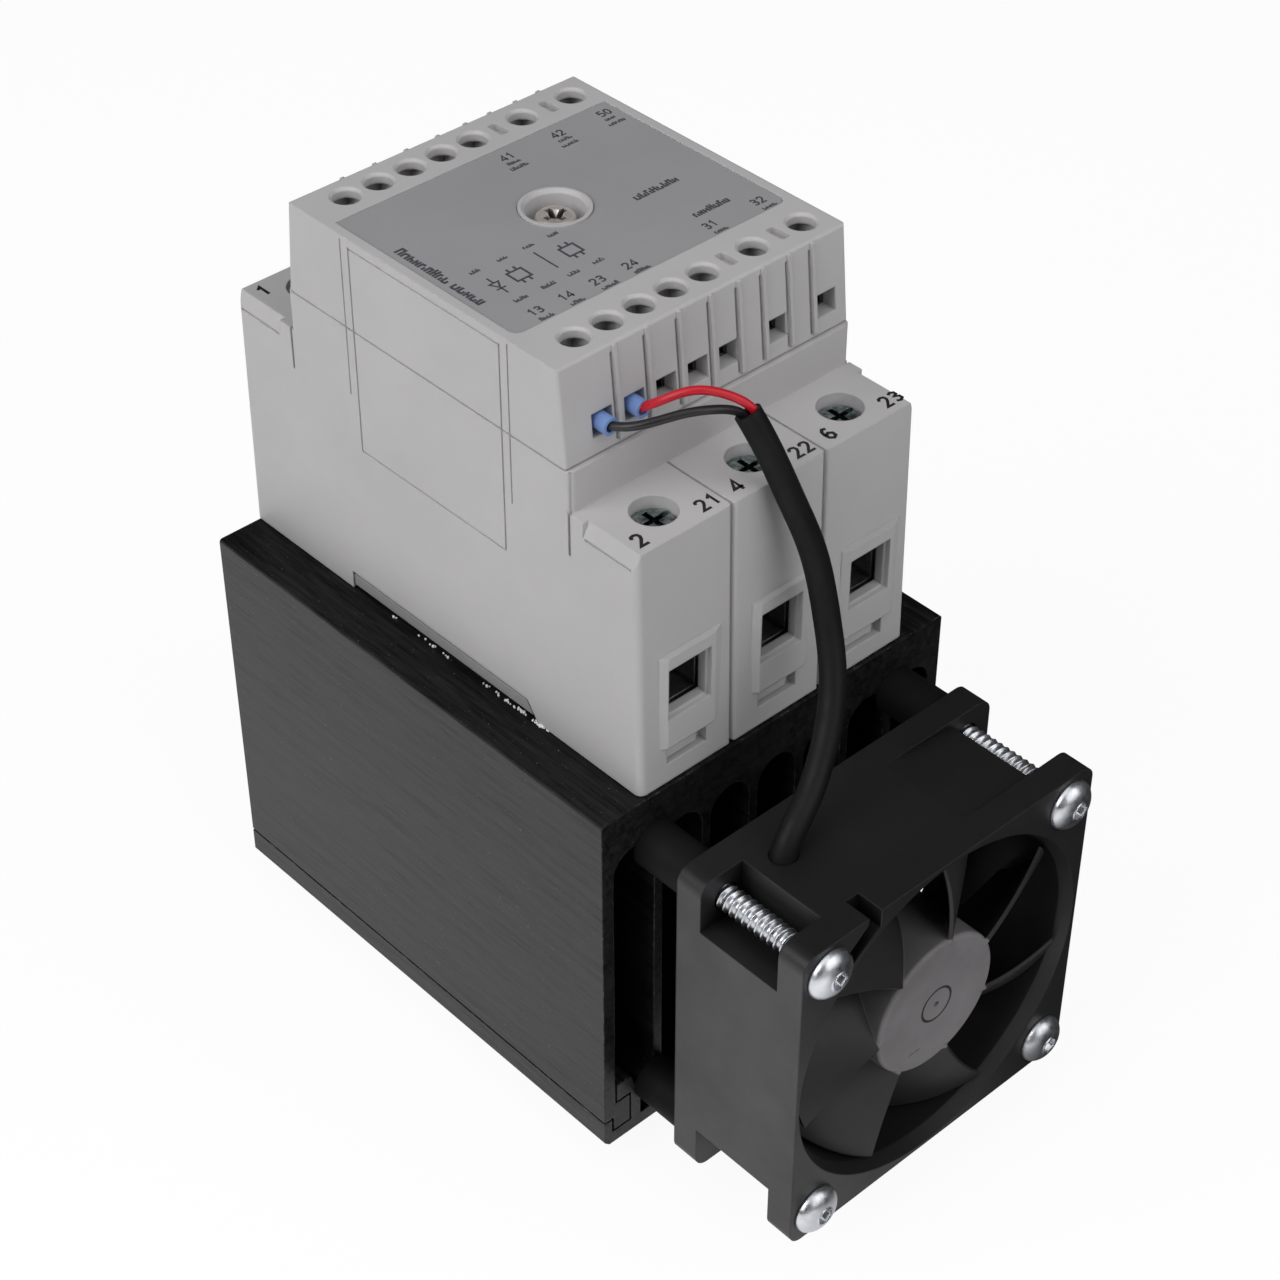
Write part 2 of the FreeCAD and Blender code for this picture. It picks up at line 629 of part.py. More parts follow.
def control_board():
    board = end_box(-24.6, 24.6, -27.2, 27.2, 113.8, 115.4, 1)
    drills = [cyl_z(x, y, 113, 116, 0.4) for x, y in pin_places()]
    for side in (-1, 1):
        for x in CONTROL_X:
            for d in (-1.4, 1.4):
                drills.append(cyl_z(x, end_y(CONTROL_V, side) + d, 113, 116, 0.6))
    return board.cut(fuse(drills + [centre_bore(113, 116, 3.2)]))


def trigger_couplers():
    """One opto-coupled trigger per pole, sitting on the control board."""
    cases = []
    for x in POLES:
        case = end_box(x - 3.3, x + 3.3, 12.0, 19.0, 115.4, 118.8, 1)
        cases.append(round_edges(case, 0.3, lambda m, e: m.z > 118.7))
    return Part.makeCompound(cases)


# ---------------------------------------------------------------- fan

def wire_notch():
    """The gap in the front flange, outside the bore's lip, where the leads are tucked in."""
    outline = [(-17.2, 66.0), (-14.7, 66.0), (-14.7, 55.0), (-20.8, 55.0), (-20.8, 59.8), (-17.2, 62.8)]
    gap = prism_xz(outline, FAN_FRONT_Y - 1, FAN_FRONT_Y + FLANGE_T - 0.2)
    return gap.cut(cyl_y(0, FAN_Z, FAN_FRONT_Y - 2, FAN_REAR_Y, BORE_R + 1.9))


def falling_flats():
    """Between the flanges the frame's outside falls away a little, on one side of its middle."""
    half = FAN_SIZE / 2
    y0, y1 = FAN_FRONT_Y + FLANGE_T, FAN_REAR_Y - FLANGE_T
    wedges = []
    for sz in (-1, 1):
        outside = FAN_Z + sz * half
        fallen = FAN_Z + sz * (half - FLAT_FALL)
        above = outside + sz * 1.0
        end_x = NOTCH_X + 0.1
        outline = [(FLAT_END_X, outside), (end_x, fallen), (end_x, above), (FLAT_END_X, above)]
        wedges.append(prism_xz(outline, y0, y1))
    return wedges


def fan_frame():
    half = FAN_SIZE / 2
    body = box(-half, half, FAN_FRONT_Y, FAN_REAR_Y, FAN_Z - half, FAN_Z + half)
    body = round_edges(body, 2.6, lambda m, e: e.BoundBox.YLength > 5)
    cuts = []
    for sx in (-1, 1):
        for sz in (-1, 1):
            x0, x1 = sx * NOTCH_X, sx * (half + 1)
            z0, z1 = FAN_Z + sz * NOTCH_Z, FAN_Z + sz * (half + 1)
            cuts.append(box(x0, x1, FAN_FRONT_Y + FLANGE_T, FAN_REAR_Y - FLANGE_T, z0, z1))
    cuts += falling_flats()
    cuts.append(cyl_y(0, FAN_Z, FAN_FRONT_Y - 1, FAN_REAR_Y + 1, BORE_R))
    flare = Part.makeCone(BORE_R + 0.9, BORE_R, 2.2, V(0, FAN_FRONT_Y - 0.01, FAN_Z), V(0, 1, 0))
    cuts.append(flare)
    for x, z in fan_screw_places():
        cuts.append(cyl_y(x, z, FAN_FRONT_Y - 1, FAN_REAR_Y + 1, 2.25))
    cuts.append(sweep(SHEATH_PATH, 2.1))
    cuts.append(wire_notch())
    body = body.cut(fuse(cuts))
    rear = FAN_REAR_Y
    plate = cyl_y(0, FAN_Z, rear - 2.2, rear, 13.0)
    struts = []
    for i in range(4):
        strut = box(11.5, BORE_R + 0.4, rear - 2.4, rear, FAN_Z - 1.3, FAN_Z + 1.3)
        strut.rotate(V(0, 0, FAN_Z), V(0, 1, 0), 30 + 90 * i)
        struts.append(strut)
    sleeve = cyl_y(0, FAN_Z, rear - 15.0, rear - 2.0, 3.9)
    body = fuse([body, plate, sleeve] + struts)
    return body.cut(cyl_y(0, FAN_Z, rear - 16, rear - 0.8, 3.05))


def blade_section(radius, chord, pitch_deg, camber, thick, lead_deg):
    """A closed cambered section lying in the plane square to the radius."""
    lead = math.radians(lead_deg)
    radial = V(math.cos(lead), 0, math.sin(lead))
    tangent = V(math.sin(lead), 0, -math.cos(lead))
    axial = V(0, 1, 0)
    pitch = math.radians(pitch_deg)
    along = tangent * math.cos(pitch) + axial * math.sin(pitch)
    across = axial * math.cos(pitch) - tangent * math.sin(pitch)
    middle = radial * radius + V(0, BLADE_MID_Y, FAN_Z)
    half = chord / 2
    edge = thick * 0.3

    def at(s, n):
        return middle + along * s + across * n

    top = Part.Arc(at(-half, edge), at(0, thick / 2 - camber), at(half, edge)).toShape()
    tail = Part.LineSegment(at(half, edge), at(half, -edge)).toShape()
    under = Part.Arc(at(half, -edge), at(0, -thick / 2 - camber), at(-half, -edge)).toShape()
    nose = Part.LineSegment(at(-half, -edge), at(-half, edge)).toShape()
    return Part.Wire([top, tail, under, nose])


def hub_cap():
    """The rotor's cup, with its centre ring, centre dot and a small moulded mark."""
    front = FAN_FRONT_Y + 0.8
    hub = cyl_y(0, FAN_Z, front, front + 15.0, HUB_R)
    hub = round_edges(hub, 0.8, lambda m, e: m.y < front + 0.1)
    mark = box(-5.3, -3.1, front - 1, front + 0.2, FAN_Z - 7.6, FAN_Z - 7.3)
    ring = tube_y(0, FAN_Z, front - 1, front + 0.25, 3.2, 2.9)
    dot = cyl_y(0, FAN_Z, front - 1, front + 0.5, 0.5)
    return hub.cut(fuse([ring, dot, mark]))


def fan_impeller():
    front = FAN_FRONT_Y + 0.8
    core = cyl_y(0, FAN_Z, front + 1.4, front + 16, HUB_R - 1.0)
    outer = cyl_y(0, FAN_Z, -85, -50, BLADE_TIP_R)
    sections = [
        blade_section(10.0, 15.5, 54, 1.1, 1.3, -17),
        blade_section(19.5, 19.5, 40, 1.7, 1.1, -7),
        blade_section(BLADE_TIP_R + 0.3, 23.0, 30, 1.9, 0.9, 0),
    ]
    blank = Part.makeLoft(sections, True, False).common(outer).cut(core)
    blades = []
    for i in range(BLADES):
        blade = blank.copy()
        blade.rotate(V(0, 0, FAN_Z), V(0, 1, 0), 360.0 / BLADES * i + 29.9)
        blades.append(blade)
    body = fuse([hub_cap().cut(core)] + blades)
    body = body.fuse(cyl_y(0, FAN_Z, front + 1.2, front + 4.0, 3.0))
    return body.cut(cyl_y(0, FAN_Z, front + 1.8, front + 16, 1.5))


def rotor_ring():
    """Steel yoke and the magnet ring bonded inside it."""
    return tube_y(0, FAN_Z, FAN_FRONT_Y + 3.0, FAN_FRONT_Y + 14.5, HUB_R - 1.02, HUB_R - 2.0)


def rotor_magnet():
    return tube_y(0, FAN_Z, FAN_FRONT_Y + 4.0, FAN_FRONT_Y + 14.0, HUB_R - 2.02, HUB_R - 3.6)


def fan_shaft():
    return cyl_y(0, FAN_Z, FAN_FRONT_Y + 2.65, FAN_REAR_Y - 1.2, 1.48)


def fan_bearings():
    rear = FAN_REAR_Y
    rings = [tube_y(0, FAN_Z, y, y + 2.5, 3.03, 1.52) for y in (rear - 14.6, rear - 4.6)]
    return Part.makeCompound(rings)


def fan_stator():
    """Four-pole laminated core; each pole has a slim neck and a curved shoe."""
    y0, y1 = FAN_REAR_Y - 12.5, FAN_REAR_Y - 7.5
    core = tube_y(0, FAN_Z, y0, y1, 5.2, 3.95)
    shoe_ring = tube_y(0, FAN_Z, y0, y1, 8.2, 7.2)
    necks = []
    gaps = []
    for i in range(4):
        neck = box(4.5, 7.6, y0, y1, FAN_Z - 1.1, FAN_Z + 1.1)
        neck.rotate(V(0, 0, FAN_Z), V(0, 1, 0), 90 * i)
        necks.append(neck)
        gap = box(6.0, 9.0, y0 - 1, y1 + 1, FAN_Z - 0.8, FAN_Z + 0.8)
        gap.rotate(V(0, 0, FAN_Z), V(0, 1, 0), 45 + 90 * i)
        gaps.append(gap)
    return fuse([core, shoe_ring.cut(fuse(gaps))] + necks)


def fan_coils():
    y0, y1 = FAN_REAR_Y - 13.3, FAN_REAR_Y - 6.7
    coils = []
    for i in range(4):
        coil = box(5.4, 6.7, y0, y1, FAN_Z - 2.4, FAN_Z + 2.4)
        coil = coil.cut(box(5.0, 7.5, y0 + 0.78, y1 - 0.78, FAN_Z - 1.12, FAN_Z + 1.12))
        coil.rotate(V(0, 0, FAN_Z), V(0, 1, 0), 90 * i)
        coils.append(coil)
    return Part.makeCompound(coils)


def fan_spacers():
    """Four round sleeves that hold the fan off the fins."""
    sleeves = []
    for x, z in fan_screw_places():
        sleeves.append(tube_y(x, z, FAN_REAR_Y, -SINK_L / 2, 3.9, 2.3))
    return Part.makeCompound(sleeves)


def screw_outline(tip_y, pitch, core_r, crest_r):
    """Half section of a threaded screw with a domed head, as (radius, y) points."""
    head_y = FAN_FRONT_Y
    head_r = 4.1
    points = [(0.0, head_y - 2.4), (2.0, head_y - 2.2), (3.3, head_y - 1.5),
              (head_r, head_y - 0.3), (head_r, head_y), (core_r, head_y)]
    y = head_y + 1.2
    while y < tip_y - 2 * pitch:
        points += [(core_r, y), (crest_r, y + pitch * 0.35)]
        points += [(crest_r, y + pitch * 0.5), (core_r, y + pitch * 0.85)]
        y += pitch
    points += [(core_r, tip_y - 1.5), (0.0, tip_y)]
    return points


def fan_screws():
    outline = screw_outline(-33.0, 1.4, 1.6, 2.1)
    screws = []
    for x, z in fan_screw_places():
        wire = Part.makePolygon([V(x + r, y, z) for r, y in outline + outline[:1]])
        screw = Part.Face(wire).revolve(V(x, 0, z), V(0, 1, 0), 360)
        socket = []
        for i in range(3):
            arm = box(-1.5, 1.5, FAN_FRONT_Y - 3, FAN_FRONT_Y - 0.7, -0.42, 0.42)
            arm.rotate(V(0, 0, 0), V(0, 1, 0), 60 * i)
            arm.translate(V(x, 0, z))
            socket.append(arm)
        socket.append(cyl_y(x, z, FAN_FRONT_Y - 3, FAN_FRONT_Y - 0.7, 1.1))
        screws.append(Part.Solid(screw).cut(fuse(socket)))
    return Part.makeCompound(screws)


# ---------------------------------------------------------------- wiring

SHEATH_PATH = [
    (-17.2, -63.3, 61.0), (-16.2, -63.0, 65.5), (-11.9, -61.9, 69.0), (-5.6, -59.3, 74.5),
    (-0.8, -56.0, 81.5), (1.6, -52.0, 90.0), (1.2, -48.8, 101.0), (-0.9, -46.6, 109.0),
    (-2.5, -44.4, 115.4), (-4.3, -41.0, 122.4),
]
RED_PATH = [
    (-2.93, -43.06, 119.2), (-3.96, -41.1, 123.3), (-6.6, -39.0, 125.4),
    (-9.8, -36.4, 126.2), (-12.7, -33.6, 124.7), (-14.0, -30.2, 122.2),
]
BLACK_PATH = [
    (-3.88, -42.28, 118.6), (-4.78, -40.58, 122.1), (-8.2, -39.6, 124.0),
    (-13.0, -37.3, 124.3), (-17.8, -34.2, 123.2), (-19.9, -30.2, 122.2),
]
SHEATH_R = 2.0
SHEATH_BORE_R = 1.45
LEAD_R = 0.65


def cable_sheath():
    """The cable's outer sleeve, cut square where the two leads come out."""
    return sweep(SHEATH_PATH, SHEATH_R).cut(sweep(SHEATH_PATH, SHEATH_BORE_R))


def wire_lead(path):
    """One fan lead, starting inside the sheath's cut end."""
    return sweep(path, LEAD_R).cut(cable_sheath()).cut(ferrules())


def ferrules():
    """Crimped end sleeves: a flared collar outside and a tube inside each clamp."""
    sleeves = []
    for x in CONTROL_X[:2]:
        y = end_y(CONTROL_V, -1)
        collar = cyl_y(x, CONTROL_WINDOW_Z, y - 7.2, y - 2.9, 1.35)
        bore = cyl_y(x, CONTROL_WINDOW_Z, y - 8, y - 4.4, 0.85)
        tip = cyl_y(x, CONTROL_WINDOW_Z - 0.5, y - 3.2, y + 2.0, 0.5)
        sleeves.append(collar.cut(bore).fuse(tip))
    return Part.makeCompound(sleeves)


def static_parts():
    return {
        "heatsink": heatsink(),
        "base_plate": base_plate(),
        "din_clip": din_clip(),
        "din_latch": din_latch(),
        "din_latch_spring": din_latch_spring(),
        "din_clip_screws": din_clip_screws(),
        "housing_base": housing_base(),
        "housing_cover": housing_cover(),
        "label_plate": label_plate(),
        "fixing_screw": fixing_screw(),
        "terminal_bars": terminal_bars(),
        "control_clamps_front": control_clamps(-1),
        "control_clamps_rear": control_clamps(1),
        "module_frame": module_frame(),
        "thermal_pad": thermal_pad(),
        "substrates": substrates(),
        "thyristor_chips": thyristor_chips(),
        "gate_pins": gate_pins(),
        "control_board": control_board(),
        "trigger_couplers": trigger_couplers(),
    }


def fan_parts():
    return {
        "fan_frame": fan_frame(),
        "fan_impeller": fan_impeller(),
        "rotor_yoke": rotor_ring(),
        "rotor_magnet": rotor_magnet(),
        "fan_shaft": fan_shaft(),
        "fan_bearings": fan_bearings(),
        "fan_stator": fan_stator(),
        "fan_coils": fan_coils(),
        "fan_spacers": fan_spacers(),
        "fan_screws": fan_screws(),
        "cable_sheath": cable_sheath(),
        "wire_red": wire_lead(RED_PATH),
        "wire_black": wire_lead(BLACK_PATH),
        "ferrules": ferrules(),
    }


def terminal_parts():
    """Clamp screws and cages 1 to 6, and control screws 1 to 7 at each end."""
    parts = {}
    for end, side in ((1, 1), (2, -1)):
        for i, x in enumerate(POLES):
            number = end + 2 * i
            parts[f"clamp_screw_{number}"] = clamp_screw(x, side)
            parts[f"clamp_cage_{number}"] = clamp_cage(x, side)
    for end, side in (("front", -1), ("rear", 1)):
        for i, x in enumerate(CONTROL_X):
            parts[f"control_screw_{end}_{i + 1}"] = control_screw(x, side)
    return parts


def main():
    os.makedirs("parts", exist_ok=True)
    parts = {**static_parts(), **fan_parts(), **terminal_parts()}
    for name, shape in parts.items():
        shape.translate(V(0, 0, -SEAT_Z))
        shape.exportStep(f"parts/{name}.step")


main()
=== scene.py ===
import json
import math
import random

import bmesh
import bpy
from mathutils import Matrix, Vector


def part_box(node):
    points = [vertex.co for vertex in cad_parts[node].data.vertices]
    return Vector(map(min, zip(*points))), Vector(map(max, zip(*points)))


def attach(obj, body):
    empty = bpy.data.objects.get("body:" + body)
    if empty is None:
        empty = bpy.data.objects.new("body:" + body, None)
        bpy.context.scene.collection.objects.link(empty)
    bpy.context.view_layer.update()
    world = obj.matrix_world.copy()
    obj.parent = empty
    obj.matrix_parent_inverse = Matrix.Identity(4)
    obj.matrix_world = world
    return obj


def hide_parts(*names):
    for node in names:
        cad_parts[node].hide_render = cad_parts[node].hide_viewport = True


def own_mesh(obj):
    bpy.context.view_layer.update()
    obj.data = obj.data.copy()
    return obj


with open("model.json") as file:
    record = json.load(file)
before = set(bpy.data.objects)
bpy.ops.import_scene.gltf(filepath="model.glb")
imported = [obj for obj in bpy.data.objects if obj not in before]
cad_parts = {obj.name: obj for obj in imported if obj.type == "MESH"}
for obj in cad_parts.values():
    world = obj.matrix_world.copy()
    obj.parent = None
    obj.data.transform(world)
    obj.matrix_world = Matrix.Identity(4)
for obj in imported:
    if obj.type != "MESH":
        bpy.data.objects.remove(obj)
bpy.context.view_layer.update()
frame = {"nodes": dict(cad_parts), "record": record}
NODES = frame["nodes"]
BODY = "relay"
MM = 0.001

# ---- camera, in the row frame ----
CAMERA_AZIMUTH = math.radians(-42.65)
CAMERA_ELEVATION = math.radians(39.69)
CAMERA_AIM = Vector((0.0196, 0.0063, 0.0433))
CAMERA_DISTANCE = 0.48
CAMERA_LENS_MM = 81.26
CAMERA_SENSOR_MM = 36.0
CAMERA_CLIP_START = 0.01


# ------------------------------------------------------------------ node materials

# How open a point is, from 0 in a closed hole to 1 on a plain face.
CLOSED_IN = 0.35
WIDE_OPEN = 0.85
# How far up a face looks, as the height of its normal.
STEEP_Z = 0.5
LEVEL_Z = 0.9


class Look:
    """Builds one node material. Textures run in the row frame's metres, so scales are per metre."""

    def __init__(self, name):
        self.material = bpy.data.materials.new(name)
        self.material.use_nodes = True
        self.tree = self.material.node_tree
        self.shader = self.tree.nodes["Principled BSDF"]
        self.place = self.add("ShaderNodeTexCoord").outputs["Object"]

    def add(self, kind, **settings):
        node = self.tree.nodes.new(kind)
        for key, value in settings.items():
            setattr(node, key, value)
        return node

    def join(self, source, target):
        self.tree.links.new(source, target)

    def feed(self, socket, value):
        """Sets an input to a number or colour, or links it to another node's output."""
        if isinstance(value, bpy.types.NodeSocket):
            self.join(value, socket)
        elif isinstance(value, tuple) and len(value) == 3 and socket.type == "RGBA":
            socket.default_value = (*value, 1.0)
        else:
            socket.default_value = value

    def stretched(self, sx, sy, sz):
        node = self.add("ShaderNodeMapping")
        self.join(self.place, node.inputs["Vector"])
        node.inputs["Scale"].default_value = (sx, sy, sz)
        return node.outputs["Vector"]

    def noise(self, scale, detail=3.0, rough=0.6, stretch=(1, 1, 1)):
        node = self.add("ShaderNodeTexNoise")
        self.join(self.stretched(*stretch), node.inputs["Vector"])
        node.inputs["Scale"].default_value = scale
        node.inputs["Detail"].default_value = detail
        node.inputs["Roughness"].default_value = rough
        return node.outputs["Fac"]

    def cells(self, scale):
        node = self.add("ShaderNodeTexVoronoi")
        self.join(self.stretched(1, 1, 1), node.inputs["Vector"])
        node.inputs["Scale"].default_value = scale
        return node.outputs["Distance"]

    def spread(self, value, low, high, out_low=0.0, out_high=1.0):
        """Maps low..high of an input to out_low..out_high, clamped."""
        node = self.add("ShaderNodeMapRange")
        self.join(value, node.inputs["Value"])
        for key, number in (("From Min", low), ("From Max", high), ("To Min", out_low), ("To Max", out_high)):
            node.inputs[key].default_value = number
        return node.outputs["Result"]

    def maths(self, operation, a, b=0.0):
        node = self.add("ShaderNodeMath", operation=operation)
        self.feed(node.inputs[0], a)
        self.feed(node.inputs[1], b)
        return node.outputs[0]

    def mix(self, share, a, b):
        node = self.add("ShaderNodeMix", data_type="RGBA")
        self.feed(node.inputs["Factor"], share)
        self.feed(node.inputs["A"], a)
        self.feed(node.inputs["B"], b)
        return node.outputs["Result"]

    def soft_edges(self, radius):
        node = self.add("ShaderNodeBevel", samples=4)
        node.inputs["Radius"].default_value = radius
        return node.outputs["Normal"]

    def edge_mask(self, rounded, low=0.02, high=0.25):
        """White where the softened normal leaves the true one, which is along sharp edges."""
        flat = self.add("ShaderNodeNewGeometry").outputs["Normal"]
        dot = self.add("ShaderNodeVectorMath", operation="DOT_PRODUCT")
        self.join(rounded, dot.inputs[0])
        self.join(flat, dot.inputs[1])
        return self.spread(self.maths("SUBTRACT", 1.0, dot.outputs["Value"]), low, high)

    def cavity(self, reach):
        """White in recesses narrower than the reach, black in the open."""
        node = self.add("ShaderNodeAmbientOcclusion", samples=6, only_local=True)
        node.inputs["Distance"].default_value = reach
        return self.spread(node.outputs["AO"], CLOSED_IN, WIDE_OPEN, 1.0, 0.0)

    def facing_up(self):
        """White on faces that look straight up, black on upright ones."""
        split = self.add("ShaderNodeSeparateXYZ")
        self.join(self.add("ShaderNodeNewGeometry").outputs["Normal"], split.inputs[0])
        return self.spread(split.outputs["Z"], STEEP_Z, LEVEL_Z)

    def dulled(self, value, share):
        """The value with the given share of it taken away."""
        return self.maths("MULTIPLY", value, self.maths("SUBTRACT", 1.0, share))

    def bump(self, height, strength, depth, normal=None):
        node = self.add("ShaderNodeBump")
        node.inputs["Strength"].default_value = strength
        node.inputs["Distance"].default_value = depth
        self.join(height, node.inputs["Height"])
        if normal is not None:
            self.join(normal, node.inputs["Normal"])
        return node.outputs["Normal"]

    def finish(self, colour, roughness, metallic=0.0, normal=None, **extra):
        inputs = self.shader.inputs
        self.feed(inputs["Base Color"], colour)
        self.feed(inputs["Roughness"], roughness)
        self.feed(inputs["Metallic"], metallic)
        if normal is not None:
            self.join(normal, inputs["Normal"])
        for key, value in extra.items():
            self.feed(inputs[key.replace("_", " ")], value)
        return self.material


FLOW_SCALE = 38.0
SPECK_SCALE = 5200.0
HIGHLIGHT_PATCH_SCALE = 420.0
SATIN_SCALE = 90.0
HOLLOW_SHADE_SHARE = 0.85


def moulded(name, colour, grain=2600.0, depth=0.00002, rough=0.5,
            edge=0.00035, tint=0.06, edge_highlight_share=0.10, sheen=0.5, recess=0.0, top_shade=0.0):
    """Spark-eroded moulded plastic: fine grain, faint flow shading, and painted highlights along its corners.

    recess is the reach in metres within which hollows get painted shade; top_shade is the share of painted
    shade on level faces, which also lose sheen there.
    """
    look = Look(name)
    rounded = look.soft_edges(edge)
    dark = tuple(c * (1 - tint) for c in colour)
    light = tuple(min(1.0, c * (1 + tint)) for c in colour)
    flow = look.spread(look.noise(FLOW_SCALE, 4.0), 0.35, 0.65)
    base = look.mix(flow, dark, light)
    speck = look.spread(look.noise(SPECK_SCALE, 2.0), 0.62, 0.75, 0.0, 0.25)
    base = look.mix(speck, base, tuple(c * 0.8 for c in colour))
    # Painted highlight: the colour is lightened in patches along the sharp edges.
    patchy = look.spread(look.noise(HIGHLIGHT_PATCH_SCALE), 0.4, 0.65, 0.2, 1.0)
    edge_highlight_mask = look.maths("MULTIPLY", look.edge_mask(rounded), patchy)
    highlight_tone = tuple(min(1.0, c * 1.6 + 0.03) for c in colour)
    base = look.mix(look.maths("MULTIPLY", edge_highlight_mask, edge_highlight_share), base, highlight_tone)
    # Painted shade: darker colour and less sheen in hollows and on level faces.
    if recess:
        shaded_hollows = look.maths("MULTIPLY", look.cavity(recess), HOLLOW_SHADE_SHARE)
        painted_shade = look.maths("MAXIMUM", shaded_hollows, look.maths("MULTIPLY", look.facing_up(), top_shade))
        base = look.mix(painted_shade, base, tuple(c * 0.15 for c in colour))
        sheen = look.dulled(sheen, painted_shade)
    gloss = look.spread(look.noise(SATIN_SCALE), 0.3, 0.7, rough - 0.05, rough + 0.07)
    coarse = look.spread(look.cells(grain * 0.6), 0.0, 0.6, 0.0, 0.4)
    pits = look.maths("ADD", look.noise(grain, 3.0, 0.7), coarse)
    normal = look.bump(pits, 0.35, depth, rounded)
    return look.finish(base, gloss, 0.0, normal, Specular_IOR_Level=sheen)


FINE_LINE_SCALE = 2600.0
FINE_LINE_STRETCH = (1, 0.05, 1)
BROAD_LINE_SCALE = 900.0
BROAD_LINE_STRETCH = (1, 0.06, 1)
HAZE_SCALE = 26.0
DUST_SCALE = 3300.0
DUST_GREY = (0.45, 0.45, 0.45)
GLINT_PATCH_SCALE = 700.0
GLINT_GREY = (0.42, 0.42, 0.43)
MIRROR_LOW = 0.16
MIRROR_HIGH = 0.37
LEVEL_FACE_SHADE = 0.65


def brushed_black(name, colour, streak, rough=0.42, metallic=0.35, glint=0.5):
    """Black anodised extrusion with fine lines drawn along the fins, painted glints on its edges, and painted
    shade on its level faces, which reflect less.
    """
    look = Look(name)
    rounded = look.soft_edges(0.0003)
    fine = look.noise(FINE_LINE_SCALE, 4.0, 0.75, FINE_LINE_STRETCH)
    broad = look.noise(BROAD_LINE_SCALE, 3.0, 0.65, BROAD_LINE_STRETCH)
    lines = look.maths("MULTIPLY", look.maths("ADD", fine, broad), 0.5)
    share = look.spread(lines, 0.38, 0.62)
    base = look.mix(share, tuple(c * 0.4 for c in colour), streak)
    haze = look.spread(look.noise(HAZE_SCALE, 4.0), 0.42, 0.7, 0.0, 0.35)
    base = look.mix(haze, base, tuple(c * 1.5 for c in colour))
    dust = look.spread(look.noise(DUST_SCALE, 2.0, 0.5), 0.735, 0.76)
    base = look.mix(look.maths("MULTIPLY", dust, 0.5), base, DUST_GREY)
    # Painted glints: light grey patches along the sharp edges.
    glint_patches = look.spread(look.noise(GLINT_PATCH_SCALE), 0.52, 0.66)
    edge_glint = look.maths("MULTIPLY", look.edge_mask(rounded, 0.05, 0.3), glint_patches)
    base = look.mix(look.maths("MULTIPLY", edge_glint, glint), base, GLINT_GREY)
    gloss = look.spread(lines, 0.35, 0.65, rough - 0.1, rough + 0.1)
    mirror = look.spread(lines, 0.38, 0.62, MIRROR_LOW, MIRROR_HIGH)
    # Painted shade: level faces reflect less, so the top reads darker.
    mirror = look.dulled(mirror, look.maths("MULTIPLY", look.facing_up(), LEVEL_FACE_SHADE))
    normal = look.bump(lines, 0.3, 0.00004, rounded)
    return look.finish(base, gloss, metallic, normal, Specular_IOR_Level=mirror)


SHADE_REACH = 0.0014
SHADE_SHARE_OF_COLOUR = 0.08


def plated(name, colour, rough=0.24, patch_share=0.35, edge=0.00012, scale=500.0,
           metallic=1.0, deep=0.45, recess_shade_share=0.9):
    """Plated steel: bright metal with cloudy passivation patches, which on the dark zinc are partly painted
    highlights, fine tumbling marks, and painted shade in its recesses.
    """
    look = Look(name)
    rounded = look.soft_edges(edge)
    # Cloudy passivation patches; on the dark zinc their strong contrast also serves as painted highlights.
    passivation_and_glints = look.spread(look.noise(scale, 4.0), 0.38, 0.68)
    base = look.mix(look.maths("MULTIPLY", passivation_and_glints, patch_share), colour, tuple(c * deep for c in colour))
    # Painted shade: the colour goes darker in recesses, from ambient occlusion.
    painted_recess_shade = look.maths("MULTIPLY", look.cavity(SHADE_REACH), recess_shade_share)
    base = look.mix(painted_recess_shade, base, tuple(c * SHADE_SHARE_OF_COLOUR for c in colour))
    gloss = look.spread(look.noise(scale * 2.2, 3.0), 0.3, 0.7, rough - 0.07, rough + 0.14)
    marks = look.noise(scale * 9.0, 3.0, 0.7)
    normal = look.bump(marks, 0.3, 0.000012, rounded)
    return look.finish(base, gloss, metallic, normal)


def rubbery(name, colour, rough=0.45, line=900.0, depth=0.00002, specular=0.45):
    """Extruded flexible sleeve: faint lengthwise drag lines and a dull bloom."""
    look = Look(name)
    drag = look.noise(line, 3.0, 0.6, (1, 1, 0.08))
    bloom = look.spread(look.noise(60.0, 4.0), 0.4, 0.7)
    bloomed = tuple(min(1.0, c * 1.7 + 0.004) for c in colour)
    base = look.mix(look.maths("MULTIPLY", bloom, 0.35), colour, bloomed)
    gloss = look.spread(look.noise(300.0), 0.3, 0.7, rough - 0.06, rough + 0.1)
    return look.finish(base, gloss, 0.0, look.bump(drag, 0.25, depth), Specular_IOR_Level=specular)


def board_green():
    look = Look("board_green")
    tracks = look.spread(look.cells(420.0), 0.2, 0.24)
    base = look.mix(tracks, (0.012, 0.09, 0.035), (0.02, 0.15, 0.06))
    gloss = look.spread(look.noise(200.0), 0.3, 0.7, 0.2, 0.35)
    return look.finish(base, gloss, 0.0, look.bump(tracks, 0.3, 0.00003))


def ink(name, colour):
    """Screen-printed ink: slightly uneven cover with a soft sheen."""
    look = Look(name)
    patch = look.spread(look.noise(3500.0, 2.0), 0.35, 0.65)
    base = look.mix(patch, tuple(c * 0.8 for c in colour), tuple(c * 1.15 for c in colour))
    return look.finish(base, 0.5, 0.0, look.bump(look.noise(5200.0), 0.2, 0.000008))


HUB_FACE_R = 12.2 * MM
HUB_RING_R = 3.05 * MM


